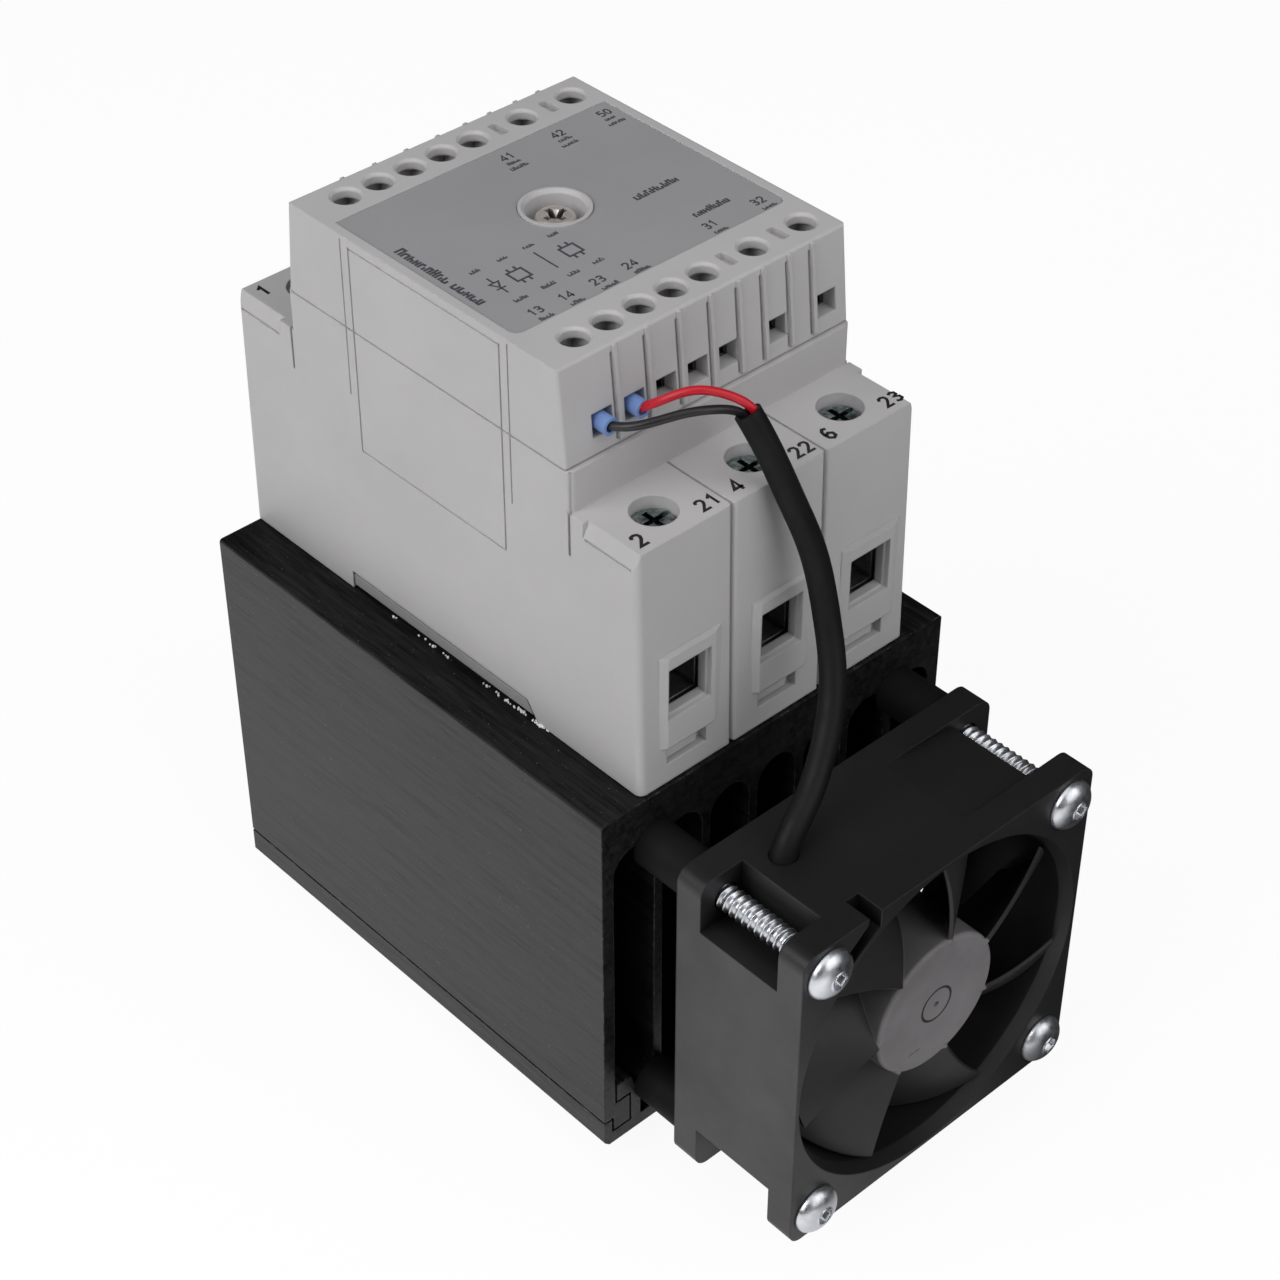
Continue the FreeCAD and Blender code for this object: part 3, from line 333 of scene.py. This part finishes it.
def rotor_plastic(colour, hub_colour):
    """The rotor's plastic: satin blades, and a paler colour within the hub face radius of the axis."""
    look = Look("rotor_black")
    rounded = look.soft_edges(0.0003)
    low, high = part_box("fan_impeller")
    centre_z = (low.z + high.z) / 2
    spot = look.add("ShaderNodeSeparateXYZ")
    look.join(look.place, spot.inputs[0])
    across = look.maths("POWER", spot.outputs["X"], 2.0)
    up = look.maths("POWER", look.maths("SUBTRACT", spot.outputs["Z"], centre_z), 2.0)
    radius = look.maths("SQRT", look.maths("ADD", across, up))
    hub = look.spread(radius, HUB_FACE_R - 0.1 * MM, HUB_FACE_R + 0.2 * MM, 1.0, 0.0)
    flow = look.spread(look.noise(60.0, 4.0), 0.35, 0.65, 0.85, 1.15)
    base = look.mix(hub, colour, hub_colour)
    base = look.mix(look.maths("SUBTRACT", 1.15, flow), base, tuple(c * 0.7 for c in colour))
    from_ring = look.maths("ABSOLUTE", look.maths("SUBTRACT", radius, HUB_RING_R))
    base = look.mix(look.spread(from_ring, 0.12 * MM, 0.3 * MM, 0.85, 0.0), base, colour)
    gloss = look.spread(look.noise(90.0), 0.3, 0.7, 0.36, 0.5)
    normal = look.bump(look.noise(2400.0, 3.0, 0.7), 0.3, 0.00001, rounded)
    return look.finish(base, gloss, 0.0, normal, Specular_IOR_Level=0.35)


def paste():
    look = Look("thermal_paste")
    base = look.mix(look.spread(look.noise(2600.0), 0.4, 0.6), (0.8, 0.8, 0.8), (0.92, 0.92, 0.9))
    return look.finish(base, 0.25, 0.0, look.bump(look.noise(1800.0), 0.4, 0.00005), Specular_IOR_Level=0.7)


GLOW_LEFT_X = -0.05
DARK_RIGHT_X = 0.03
GLOW_IN_REFLECTIONS = 1.15
DIM_IN_REFLECTIONS = 0.04
FLOOR_GREY = (0.86, 0.86, 0.86)
FLOOR_GLOW = 1.03
FLOOR_GLOW_SHARE = 0.90


def studio_white():
    """The floor: near white to the camera; in reflections bright on the left and dim on the right."""
    look = Look("studio_white")
    look.finish(FLOOR_GREY, 0.9, 0.0, look.bump(look.noise(900.0), 0.05, 0.00002))
    rays = look.add("ShaderNodeLightPath")
    spot = look.add("ShaderNodeSeparateXYZ")
    look.join(look.place, spot.inputs[0])
    mirrored = look.add("ShaderNodeEmission")
    reach = look.spread(spot.outputs["X"], GLOW_LEFT_X, DARK_RIGHT_X, GLOW_IN_REFLECTIONS, DIM_IN_REFLECTIONS)
    look.join(reach, mirrored.inputs["Strength"])
    plain = look.add("ShaderNodeEmission")
    plain.inputs["Strength"].default_value = FLOOR_GLOW
    to_camera = look.add("ShaderNodeMixShader")
    look.join(look.maths("MULTIPLY", rays.outputs["Is Camera Ray"], FLOOR_GLOW_SHARE), to_camera.inputs[0])
    look.join(look.shader.outputs[0], to_camera.inputs[1])
    look.join(plain.outputs[0], to_camera.inputs[2])
    to_gloss = look.add("ShaderNodeMixShader")
    look.join(rays.outputs["Is Glossy Ray"], to_gloss.inputs[0])
    look.join(to_camera.outputs[0], to_gloss.inputs[1])
    look.join(mirrored.outputs[0], to_gloss.inputs[2])
    look.join(to_gloss.outputs[0], look.tree.nodes["Material Output"].inputs["Surface"])
    return look.material


def build_looks():
    looks = {
        "heatsink_black": brushed_black(
            "heatsink_black", (0.009, 0.0084, 0.009), (0.021, 0.0195, 0.0212), 0.40, 0.10),
        "plate_black": brushed_black("plate_black", (0.016, 0.015, 0.015), (0.042, 0.040, 0.040), 0.44, 0.10),
        "housing_grey": moulded("housing_grey", (0.505, 0.494, 0.498), rough=0.52, tint=0.025, edge_highlight_share=0.35),
        "label_grey": moulded("label_grey", (0.335, 0.332, 0.342), grain=4200.0, depth=0.00001,
                              rough=0.42, edge=0.0001, tint=0.03),
        # The fan frame gets painted shade in its hollows and on its level faces.
        "fan_black": moulded("fan_black", (0.017, 0.016, 0.017), grain=1900.0, rough=0.42,
                             tint=0.15, edge_highlight_share=0.25, sheen=0.46, recess=0.007, top_shade=0.4),
        # A darker, less glossy copy of fan_black: painted shade on the spacers.
        "fan_black_in_shade": moulded("fan_black_in_shade", (0.006, 0.006, 0.006), grain=1900.0, rough=0.6,
                                tint=0.15, sheen=0.14),
        "rotor_black": rotor_plastic((0.026, 0.025, 0.026), (0.235, 0.225, 0.232)),
        "sheath_black": rubbery("sheath_black", (0.007, 0.007, 0.008), 0.5, specular=0.16),
        "lead_red": rubbery("lead_red", (0.52, 0.008, 0.022), 0.35, 1500.0),
        "lead_black": rubbery("lead_black", (0.012, 0.012, 0.014), 0.35, 1500.0),
        "ferrule_blue": moulded("ferrule_blue", (0.20, 0.32, 0.66), grain=1500.0, rough=0.35,
                                edge=0.0002, tint=0.08),
        "zinc": plated("zinc", (0.70, 0.72, 0.76), 0.3, 0.22, scale=350.0),
        # Dark zinc: patches from near black to bright, partly painted highlights, and weaker painted shade in
        # recesses.
        "zinc_dark": plated("zinc_dark", (0.42, 0.50, 0.50), 0.2, 1.0, scale=650.0, deep=0.10, recess_shade_share=0.5),
        "passivated": plated("passivated", (0.86, 0.79, 0.75), 0.40, 0.22, metallic=0.75),
        "clamp_steel": plated("clamp_steel", (0.40, 0.42, 0.41), 0.34, 0.5),
        "copper_tin": plated("copper_tin", (0.70, 0.62, 0.52), 0.3),
        "clip_black": brushed_black("clip_black", (0.03, 0.03, 0.032), (0.05, 0.05, 0.05), 0.5, 0.2),
        "spring_steel": plated("spring_steel", (0.5, 0.5, 0.52), 0.28),
        "pad_white": paste(),
        "ceramic_white": moulded("ceramic_white", (0.8, 0.8, 0.77), rough=0.4),
        "silicon_grey": moulded("silicon_grey", (0.12, 0.13, 0.17), rough=0.15),
        "module_grey": moulded("module_grey", (0.30, 0.295, 0.295), rough=0.55, tint=0.04),
        "board_green": board_green(),
        "coupler_black": moulded("coupler_black", (0.03, 0.03, 0.03), rough=0.45),
        "ferrite": moulded("ferrite", (0.05, 0.05, 0.05), rough=0.6),
        "copper_wire": plated("copper_wire", (0.65, 0.28, 0.1), 0.3),
        "label_ink": ink("label_ink", (0.07, 0.07, 0.08)),
        "numeral_ink": ink("numeral_ink", (0.012, 0.012, 0.014)),
    }
    return looks


LOOKS = build_looks()


def wear(obj, look):
    obj.data.materials.clear()
    obj.data.materials.append(LOOKS[look])


def dress_cad_nodes():
    for part in frame["record"]["subparts"]:
        obj = NODES[part["node"]]
        wear(obj, part["material_slot"])


dress_cad_nodes()
# The spacers share the fan frame's slot but get a darker, less glossy copy of its plastic: painted shade, as
# they sit in the module's shadow.
wear(NODES["fan_spacers"], "fan_black_in_shade")


# ------------------------------------------------------------------ mesh helpers

def piece(name, mesh, look, body=BODY):
    """Puts a finished bmesh into the scene as one piece riding on a body."""
    data = bpy.data.meshes.new(name)
    mesh.to_mesh(data)
    mesh.free()
    obj = bpy.data.objects.new(name, data)
    bpy.context.scene.collection.objects.link(obj)
    wear(obj, look)
    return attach(obj, body)


def shade_smooth(obj):
    for face in obj.data.polygons:
        face.use_smooth = True


# ------------------------------------------------------------------ fan screws with a true thread

SCREW_CORE_R = 1.6 * MM
SCREW_CREST_R = 2.1 * MM
SCREW_PITCH = 1.25 * MM
SCREW_HEAD_R = 4.1 * MM
SCREW_HEAD_H = 2.4 * MM
SCREW_RIM_H = 0.25 * MM
SCREW_NECK = 0.9 * MM
SCREW_TIP_TURNS = 2.5
SCREW_TIP_SHARE = 0.12
RIDGE_HALF_WIDTH = 0.30
SOCKET_R = 1.5 * MM
SOCKET_DEPTH = 1.4 * MM
SOCKET_LEAD_IN = 0.15 * MM
SCREW_SEGMENTS = 40
SCREW_RINGS_PER_TURN = 10


def screw_surface(mesh, x, z, head_y, tip_y):
    """One tapping screw's shank along +Y: a helical ridge swept over a core and closed at the tip; screw_head
    adds the domed head with its hex socket.
    """
    shank = tip_y - head_y
    rings = int(shank / SCREW_PITCH * SCREW_RINGS_PER_TURN)
    previous = None
    first = None
    for i in range(rings + 1):
        y = head_y + shank * i / rings
        ring = []
        taper = min(1.0, (tip_y - y) / (SCREW_TIP_TURNS * SCREW_PITCH) + SCREW_TIP_SHARE)
        ridge_share = min(1.0, max(0.0, (y - head_y - SCREW_NECK) / SCREW_PITCH))
        for k in range(SCREW_SEGMENTS):
            turn = k / SCREW_SEGMENTS
            phase = ((y - head_y) / SCREW_PITCH - turn) % 1.0
            ridge = max(0.0, 1.0 - abs(phase - 0.5) / RIDGE_HALF_WIDTH) * ridge_share
            r = (SCREW_CORE_R + (SCREW_CREST_R - SCREW_CORE_R) * ridge) * taper
            angle = 2 * math.pi * turn
            ring.append(mesh.verts.new((x + r * math.cos(angle), y, z + r * math.sin(angle))))
        if previous is not None:
            for k in range(SCREW_SEGMENTS):
                j = (k + 1) % SCREW_SEGMENTS
                mesh.faces.new((previous[k], previous[j], ring[j], ring[k]))
        else:
            first = ring
        previous = ring
    mesh.faces.new(previous)
    return first


def head_profile():
    """(radius, height above the flange) from the rim of the head to the rim of the socket."""
    points = [(SCREW_HEAD_R, 0.0), (SCREW_HEAD_R, SCREW_RIM_H)]
    for i in range(1, 9):
        a = math.radians(10 + 62 * i / 8)
        points.append((SCREW_HEAD_R * math.cos(a) * 1.015, SCREW_HEAD_H * math.sin(a) * 1.05))
    return points


def screw_head(mesh, x, z, head_y, joined_ring, spin):
    """Revolves the dome and sinks a six-sided socket into it."""
    previous = joined_ring
    for r, h in head_profile():
        ring = []
        for k in range(SCREW_SEGMENTS):
            angle = 2 * math.pi * k / SCREW_SEGMENTS
            ring.append(mesh.verts.new((x + r * math.cos(angle), head_y - h, z + r * math.sin(angle))))
        bridge(mesh, previous, ring)
        previous = ring
    top_h = head_profile()[-1][1]
    steps = ((top_h + 0.02 * MM, 1.0), (top_h - SOCKET_LEAD_IN, 0.93), (top_h - SOCKET_DEPTH, 0.90))
    for h, scale in steps:
        ring = []
        for k in range(SCREW_SEGMENTS):
            angle = 2 * math.pi * k / SCREW_SEGMENTS
            side = (angle + spin) % (math.pi / 3) - math.pi / 6
            r = SOCKET_R * scale * math.cos(math.pi / 6) / math.cos(side)
            ring.append(mesh.verts.new((x + r * math.cos(angle), head_y - h, z + r * math.sin(angle))))
        bridge(mesh, previous, ring)
        previous = ring
    mesh.faces.new(list(reversed(previous)))


def bridge(mesh, a, b):
    count = len(a)
    for k in range(count):
        j = (k + 1) % count
        mesh.faces.new((a[j], a[k], b[k], b[j]))


def fan_screws():
    low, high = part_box("fan_screws")
    head_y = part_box("fan_frame")[0].y
    centre_x = (low.x + high.x) / 2
    centre_z = (low.z + high.z) / 2
    half_x = (high.x - low.x) / 2 - SCREW_HEAD_R
    half_z = (high.z - low.z) / 2 - SCREW_HEAD_R
    mesh = bmesh.new()
    spins = random.Random(7)
    for sx in (-1, 1):
        for sz in (-1, 1):
            x, z = centre_x + sx * half_x, centre_z + sz * half_z
            first = screw_surface(mesh, x, z, head_y, high.y)
            screw_head(mesh, x, z, head_y, first, spins.uniform(0, math.pi / 3))
    bmesh.ops.recalc_face_normals(mesh, faces=mesh.faces)
    obj = piece("fan_screws_threaded", mesh, "zinc")
    shade_smooth(obj)
    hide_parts("fan_screws")
    return obj


fan_screws()


# ------------------------------------------------------------------ numerals and pole marks

INK_T = 0.02 * MM

# Each figure is one pen stroke in a cell 0.6 wide and 1 high.
FIGURES = {
    "0": ((0.3, 1.0), (0.1, 0.85), (0.03, 0.5), (0.1, 0.15), (0.3, 0.0),
          (0.5, 0.15), (0.57, 0.5), (0.5, 0.85), (0.3, 1.0)),
    "1": ((0.1, 0.76), (0.36, 1.0), (0.36, 0.0)),
    "2": ((0.03, 0.76), (0.12, 0.95), (0.32, 1.0), (0.52, 0.92),
          (0.57, 0.72), (0.47, 0.5), (0.03, 0.0), (0.6, 0.0)),
    "3": ((0.05, 0.88), (0.28, 1.0), (0.53, 0.88), (0.53, 0.66), (0.25, 0.54),
          (0.55, 0.4), (0.56, 0.14), (0.3, 0.0), (0.03, 0.12)),
    "4": ((0.46, 0.0), (0.46, 1.0), (0.0, 0.28), (0.64, 0.28)),
    "5": ((0.54, 1.0), (0.12, 1.0), (0.07, 0.56), (0.3, 0.63), (0.53, 0.53),
          (0.6, 0.32), (0.5, 0.08), (0.26, 0.0), (0.03, 0.1)),
    "6": ((0.52, 0.92), (0.3, 1.0), (0.11, 0.82), (0.04, 0.5), (0.08, 0.18),
          (0.3, 0.0), (0.54, 0.13), (0.56, 0.4), (0.34, 0.56), (0.06, 0.4)),
}


def stroke(mesh, points, width, z, closed=False):
    """One printed line of even width with mitred corners, as a thin closed ribbon."""
    pen = [Vector(p) for p in points]
    count = len(pen)
    half = width / 2
    rails = []
    for k in range(count):
        if closed:
            before, after = pen[k] - pen[k - 1], pen[(k + 1) % count] - pen[k]
        else:
            before = pen[k] - pen[k - 1] if k > 0 else pen[1] - pen[0]
            after = pen[k + 1] - pen[k] if k < count - 1 else before
        before, after = before.normalized(), after.normalized()
        side = Vector((-before.y - after.y, before.x + after.x))
        side = Vector((-after.y, after.x)) if side.length < 0.2 else side.normalized()
        reach = half / max(0.45, side.dot(Vector((-after.y, after.x))))
        rails.append((pen[k] + side * reach, pen[k] - side * reach))
    rings = []
    for left, right in rails:
        corners = ((left, z), (right, z), (right, z + INK_T), (left, z + INK_T))
        rings.append([mesh.verts.new((rail.x, rail.y, height)) for rail, height in corners])
    pairs = list(zip(rings, rings[1:])) + ([(rings[-1], rings[0])] if closed else [])
    for a, b in pairs:
        for k in range(4):
            j = (k + 1) % 4
            mesh.faces.new((a[k], a[j], b[j], b[k]))
    if not closed:
        mesh.faces.new(list(reversed(rings[0])))
        mesh.faces.new(rings[-1])


def figure(mesh, digit, x, y, size, width, z):
    """A number printed flat, its lower left corner at x, y and its foot towards the fan."""
    points = [(x + px * size, y + py * size) for px, py in FIGURES[digit]]
    stroke(mesh, points, width, z)


BLOCK_TOP_ABOVE_SINK = 42.8 * MM
INK_LIFT = 0.005 * MM
POLE_NUMBER_SIZE = 2.5 * MM
POLE_NUMBER_PEN = 0.52 * MM
POLE_NUMBER_LEFT = 6.7 * MM
MARK_SIZE = 2.3 * MM
MARK_PEN = 0.46 * MM
MARK_RIGHT = 4.9 * MM
MARK_STEP = 2.0 * MM
FOOT_OUTWARD = 3.5 * MM
FOOT_TOWARDS_FAN = 1.2 * MM


def pole_marks():
    """The pole number and a plain two-figure terminal number beside each power screw hole."""
    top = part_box("heatsink")[1].z + BLOCK_TOP_ABOVE_SINK + INK_LIFT
    mesh = bmesh.new()
    for n in range(1, 7):
        low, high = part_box(f"clamp_screw_{n}")
        x, y = (low.x + high.x) / 2, (low.y + high.y) / 2
        out = 1 if y > 0 else -1
        foot = y + out * FOOT_OUTWARD - FOOT_TOWARDS_FAN
        figure(mesh, str(n), x - POLE_NUMBER_LEFT, foot, POLE_NUMBER_SIZE, POLE_NUMBER_PEN, top)
        row = 20 if n % 2 == 0 else 10
        for k, digit in enumerate(str(row + (n + 1) // 2)):
            figure(mesh, digit, x + MARK_RIGHT + k * MARK_STEP, foot, MARK_SIZE, MARK_PEN, top)
    bmesh.ops.recalc_face_normals(mesh, faces=mesh.faces)
    piece("pole_marks", mesh, "numeral_ink")


pole_marks()


# ------------------------------------------------------------------ printing on the label

PEN = 0.28 * MM
LABEL_INK_LIFT = 0.002 * MM
NUMBER_SIZE = 1.5 * MM
NUMBER_STEP = 0.82
NUMBER_PEN = 0.19
SMALL_WORD = 0.85 * MM
WIDE_WORD = 1.4 * MM
SIDE_WORD = 1.7 * MM

# Where the printing sits on the label, in millimetres from its middle.
FAN_SIDE_NUMBERS = ((-20.6, "13"), (-15.1, "14"), (-9.4, "23"), (-3.4, "24"), (11.8, "31"), (21.2, "32"))
FAR_SIDE_NUMBERS = ((3.0, "41"), (12.8, "42"), (22.0, "50"))
WIDE_WORDS = ((10.0, -3.8, 8.2), (13.0, -12.8, 6.0))
SIDE_WORDS = ((8.8, 5.0), (2.4, 4.0), (-3.2, 5.6))
SIDE_WORDS_X = -24.3
SYMBOL_WORDS_X = (-20.0, -15.1, -10.4, -5.8)


def word(mesh, x, y, length, height, draw, z, turned=False):
    """A word-like run of small upright and level strokes, with no letters in it."""
    place = 0.0
    pen = height * 0.25
    while place < length:
        width = height * draw.uniform(0.32, 0.5)
        tall = height * draw.choice((0.72, 0.72, 0.8, 1.0))
        level = tall * draw.choice((0.12, 0.5, 0.88))
        right_top = tall * draw.choice((0.6, 1.0))
        strokes = [((place, 0.0), (place, tall)), ((place + width, 0.0), (place + width, right_top))]
        strokes.append(((place + pen / 2, level), (place + width - pen / 2, level)))
        for a, b in strokes:
            if turned:
                ends = [(x + a[1], y - a[0]), (x + b[1], y - b[0])]
            else:
                ends = [(x + a[0], y + a[1]), (x + b[0], y + b[1])]
            stroke(mesh, ends, pen, z)
        place += width + height * 0.32


def number(mesh, digits, x, y, size, z):
    for k, digit in enumerate(digits):
        figure(mesh, digit, x + k * size * NUMBER_STEP, y, size, size * NUMBER_PEN, z)


def load_symbol(mesh, x, y, z):
    """A plain box with two short leads above and two below."""
    w, h, lead = 1.25 * MM, 1.2 * MM, 0.75 * MM
    stroke(mesh, [(x - w, y - h), (x + w, y - h), (x + w, y + h), (x - w, y + h)], PEN * 1.3, z, closed=True)
    for dx in (-0.62 * MM, 0.62 * MM):
        for side in (-1, 1):
            near = y + side * (h + PEN * 0.65)
            stroke(mesh, [(x + dx, near), (x + dx, near + side * lead)], PEN * 1.3, z)


def lamp_symbol(mesh, x, y, z):
    """A small filled arrowhead on a lead, ending in a bar."""
    stroke(mesh, [(x, y + 2.3 * MM), (x, y + 0.85 * MM)], PEN, z)
    stroke(mesh, [(x, y - 0.85 * MM), (x, y - 2.3 * MM)], PEN, z)
    half = 0.8 * MM
    stroke(mesh, [(x - half, y + half), (x + half, y + half), (x, y - 0.6 * MM)], PEN, z, closed=True)
    stroke(mesh, [(x - half, y - 0.85 * MM), (x + half, y - 0.85 * MM)], PEN, z)


def label_print():
    """Generic print: terminal numbers, word-like runs and plain symbols, laid out like the real label."""
    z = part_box("label_plate")[1].z + LABEL_INK_LIFT
    draw = random.Random(21)
    mesh = bmesh.new()
    for x, digits in FAN_SIDE_NUMBERS:
        number(mesh, digits, x * MM, -16.2 * MM, NUMBER_SIZE, z)
        word(mesh, (x + 0.2) * MM, -17.9 * MM, 2.4 * MM, SMALL_WORD, draw, z)
    for x, digits in FAR_SIDE_NUMBERS:
        number(mesh, digits, x * MM, 17.2 * MM, NUMBER_SIZE, z)
        word(mesh, (x - 0.2) * MM, 15.8 * MM, 1.9 * MM, SMALL_WORD, draw, z)
        word(mesh, (x - 0.8) * MM, 14.3 * MM, 2.6 * MM, SMALL_WORD, draw, z)
    for x, y, length in WIDE_WORDS:
        word(mesh, x * MM, y * MM, length * MM, WIDE_WORD, draw, z)
    for y, length in SIDE_WORDS:
        word(mesh, SIDE_WORDS_X * MM, y * MM, length * MM, SIDE_WORD, draw, z, turned=True)
    for x in SYMBOL_WORDS_X:
        word(mesh, x * MM, -2.8 * MM, 1.5 * MM, SMALL_WORD, draw, z)
        word(mesh, x * MM, -12.2 * MM, 1.9 * MM, SMALL_WORD, draw, z)
    load_symbol(mesh, -15.2 * MM, -7.1 * MM, z)
    load_symbol(mesh, -5.8 * MM, -7.2 * MM, z)
    lamp_symbol(mesh, -19.2 * MM, -7.2 * MM, z)
    stroke(mesh, [(-10.1 * MM, -9.4 * MM), (-10.1 * MM, -4.2 * MM)], PEN, z)
    bmesh.ops.recalc_face_normals(mesh, faces=mesh.faces)
    piece("label_print", mesh, "label_ink")


label_print()


# ------------------------------------------------------------------ the rail clip's spring


def latch_spring():
    """The coil under the latch, copied from its CAD part into a piece with a mesh of its own."""
    node = NODES["din_latch_spring"]
    mesh = bmesh.new()
    mesh.from_mesh(node.data)
    mesh.transform(node.matrix_world)
    coil = piece("latch_spring_coil", mesh, "spring_steel")
    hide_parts("din_latch_spring")
    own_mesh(coil)


latch_spring()


# ------------------------------------------------------------------ squeezed-out thermal compound

TONGUE_EDGE_X = -26.75 * MM
# (place along the sink in mm, number of beads)
BEAD_ROWS_MM = ((10.6, 3), (4.6, 2), (2.0, 3), (-1.0, 3), (-10.6, 3), (-13.0, 4), (-15.4, 4),
                (-17.6, 5), (-19.6, 5), (-21.6, 6), (-23.2, 6), (-24.2, 4))


def compound_beads():
    """Small uneven beads left on the sink along the edge of the module."""
    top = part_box("heatsink")[1].z
    draw = random.Random(5)
    mesh = bmesh.new()
    for y, count in BEAD_ROWS_MM:
        for _ in range(count):
            size = draw.uniform(0.13, 0.17 + 0.017 * count) * MM
            out = draw.uniform(0.0, 0.15 + 0.06 * count) * MM
            place = Vector((TONGUE_EDGE_X - out, (y + draw.uniform(-0.9, 0.9)) * MM, top + 0.8 * size))
            made = bmesh.ops.create_icosphere(mesh, subdivisions=3, radius=size)["verts"]
            stretch = Vector((draw.uniform(0.8, 1.1), draw.uniform(0.8, 1.3), draw.uniform(0.95, 1.5)))
            for vert in made:
                wobble = 1 + 0.16 * math.sin(vert.co.x * 9000 + vert.co.y * 7000 + count)
                vert.co = Vector(a * b for a, b in zip(vert.co, stretch)) * wobble + place
    obj = piece("compound_beads", mesh, "pad_white")
    shade_smooth(obj)


compound_beads()


# ------------------------------------------------------------------ studio

FLOOR_HALF = 3.0


def floor():
    low = min(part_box(n)[0].z for n in NODES)
    mesh = bmesh.new()
    signs = ((-1, -1), (1, -1), (1, 1), (-1, 1))
    corners = [mesh.verts.new((sx * FLOOR_HALF, sy * FLOOR_HALF, low)) for sx, sy in signs]
    mesh.faces.new(corners)
    data = bpy.data.meshes.new("floor")
    mesh.to_mesh(data)
    mesh.free()
    obj = bpy.data.objects.new("floor", data)
    bpy.context.scene.collection.objects.link(obj)
    data.materials.append(studio_white())


def outward(azimuth, elevation):
    """The direction from the object at a compass angle and an elevation, in radians."""
    level = math.cos(elevation)
    return Vector((math.sin(azimuth) * level, -math.cos(azimuth) * level, math.sin(elevation)))


def softbox(name, azimuth, elevation, distance, width, height, power):
    """A rectangular light at a compass angle round the object, facing it."""
    data = bpy.data.lights.new(name, "AREA")
    data.shape = "RECTANGLE"
    data.size = width
    data.size_y = height
    data.energy = power
    obj = bpy.data.objects.new(name, data)
    bpy.context.scene.collection.objects.link(obj)
    out = outward(math.radians(azimuth), math.radians(elevation))
    obj.location = LIGHTS_AIM + out * distance
    obj.rotation_euler = out.to_track_quat("Z", "Y").to_euler()


LIGHTS_AIM = Vector((0, 0, 0.06))
KEY_W = 5.1
FILL_W = 4.3
TOP_W = 1.8
SKY = 0.08
SKY_COLOUR = (0.9, 0.92, 0.95, 1)


def studio():
    softbox("key_left", -95, 38, 0.9, 0.7, 0.7, KEY_W)
    softbox("fill_front", 14, 36, 1.0, 0.9, 0.9, FILL_W)
    softbox("top", -40, 82, 1.0, 0.7, 0.7, TOP_W)
    world = bpy.data.worlds.new("studio")
    bpy.context.scene.world = world
    world.use_nodes = True
    background = world.node_tree.nodes["Background"]
    background.inputs["Color"].default_value = SKY_COLOUR
    background.inputs["Strength"].default_value = SKY


def camera():
    data = bpy.data.cameras.new("camera")
    data.lens = CAMERA_LENS_MM
    data.sensor_width = CAMERA_SENSOR_MM
    data.clip_start = CAMERA_CLIP_START
    obj = bpy.data.objects.new("camera", data)
    bpy.context.scene.collection.objects.link(obj)
    out = outward(CAMERA_AZIMUTH, CAMERA_ELEVATION)
    obj.location = CAMERA_AIM + out * CAMERA_DISTANCE
    obj.rotation_euler = out.to_track_quat("Z", "Y").to_euler()
    bpy.context.scene.camera = obj


floor()
studio()
camera()
bpy.context.scene.view_settings.view_transform = "Standard"
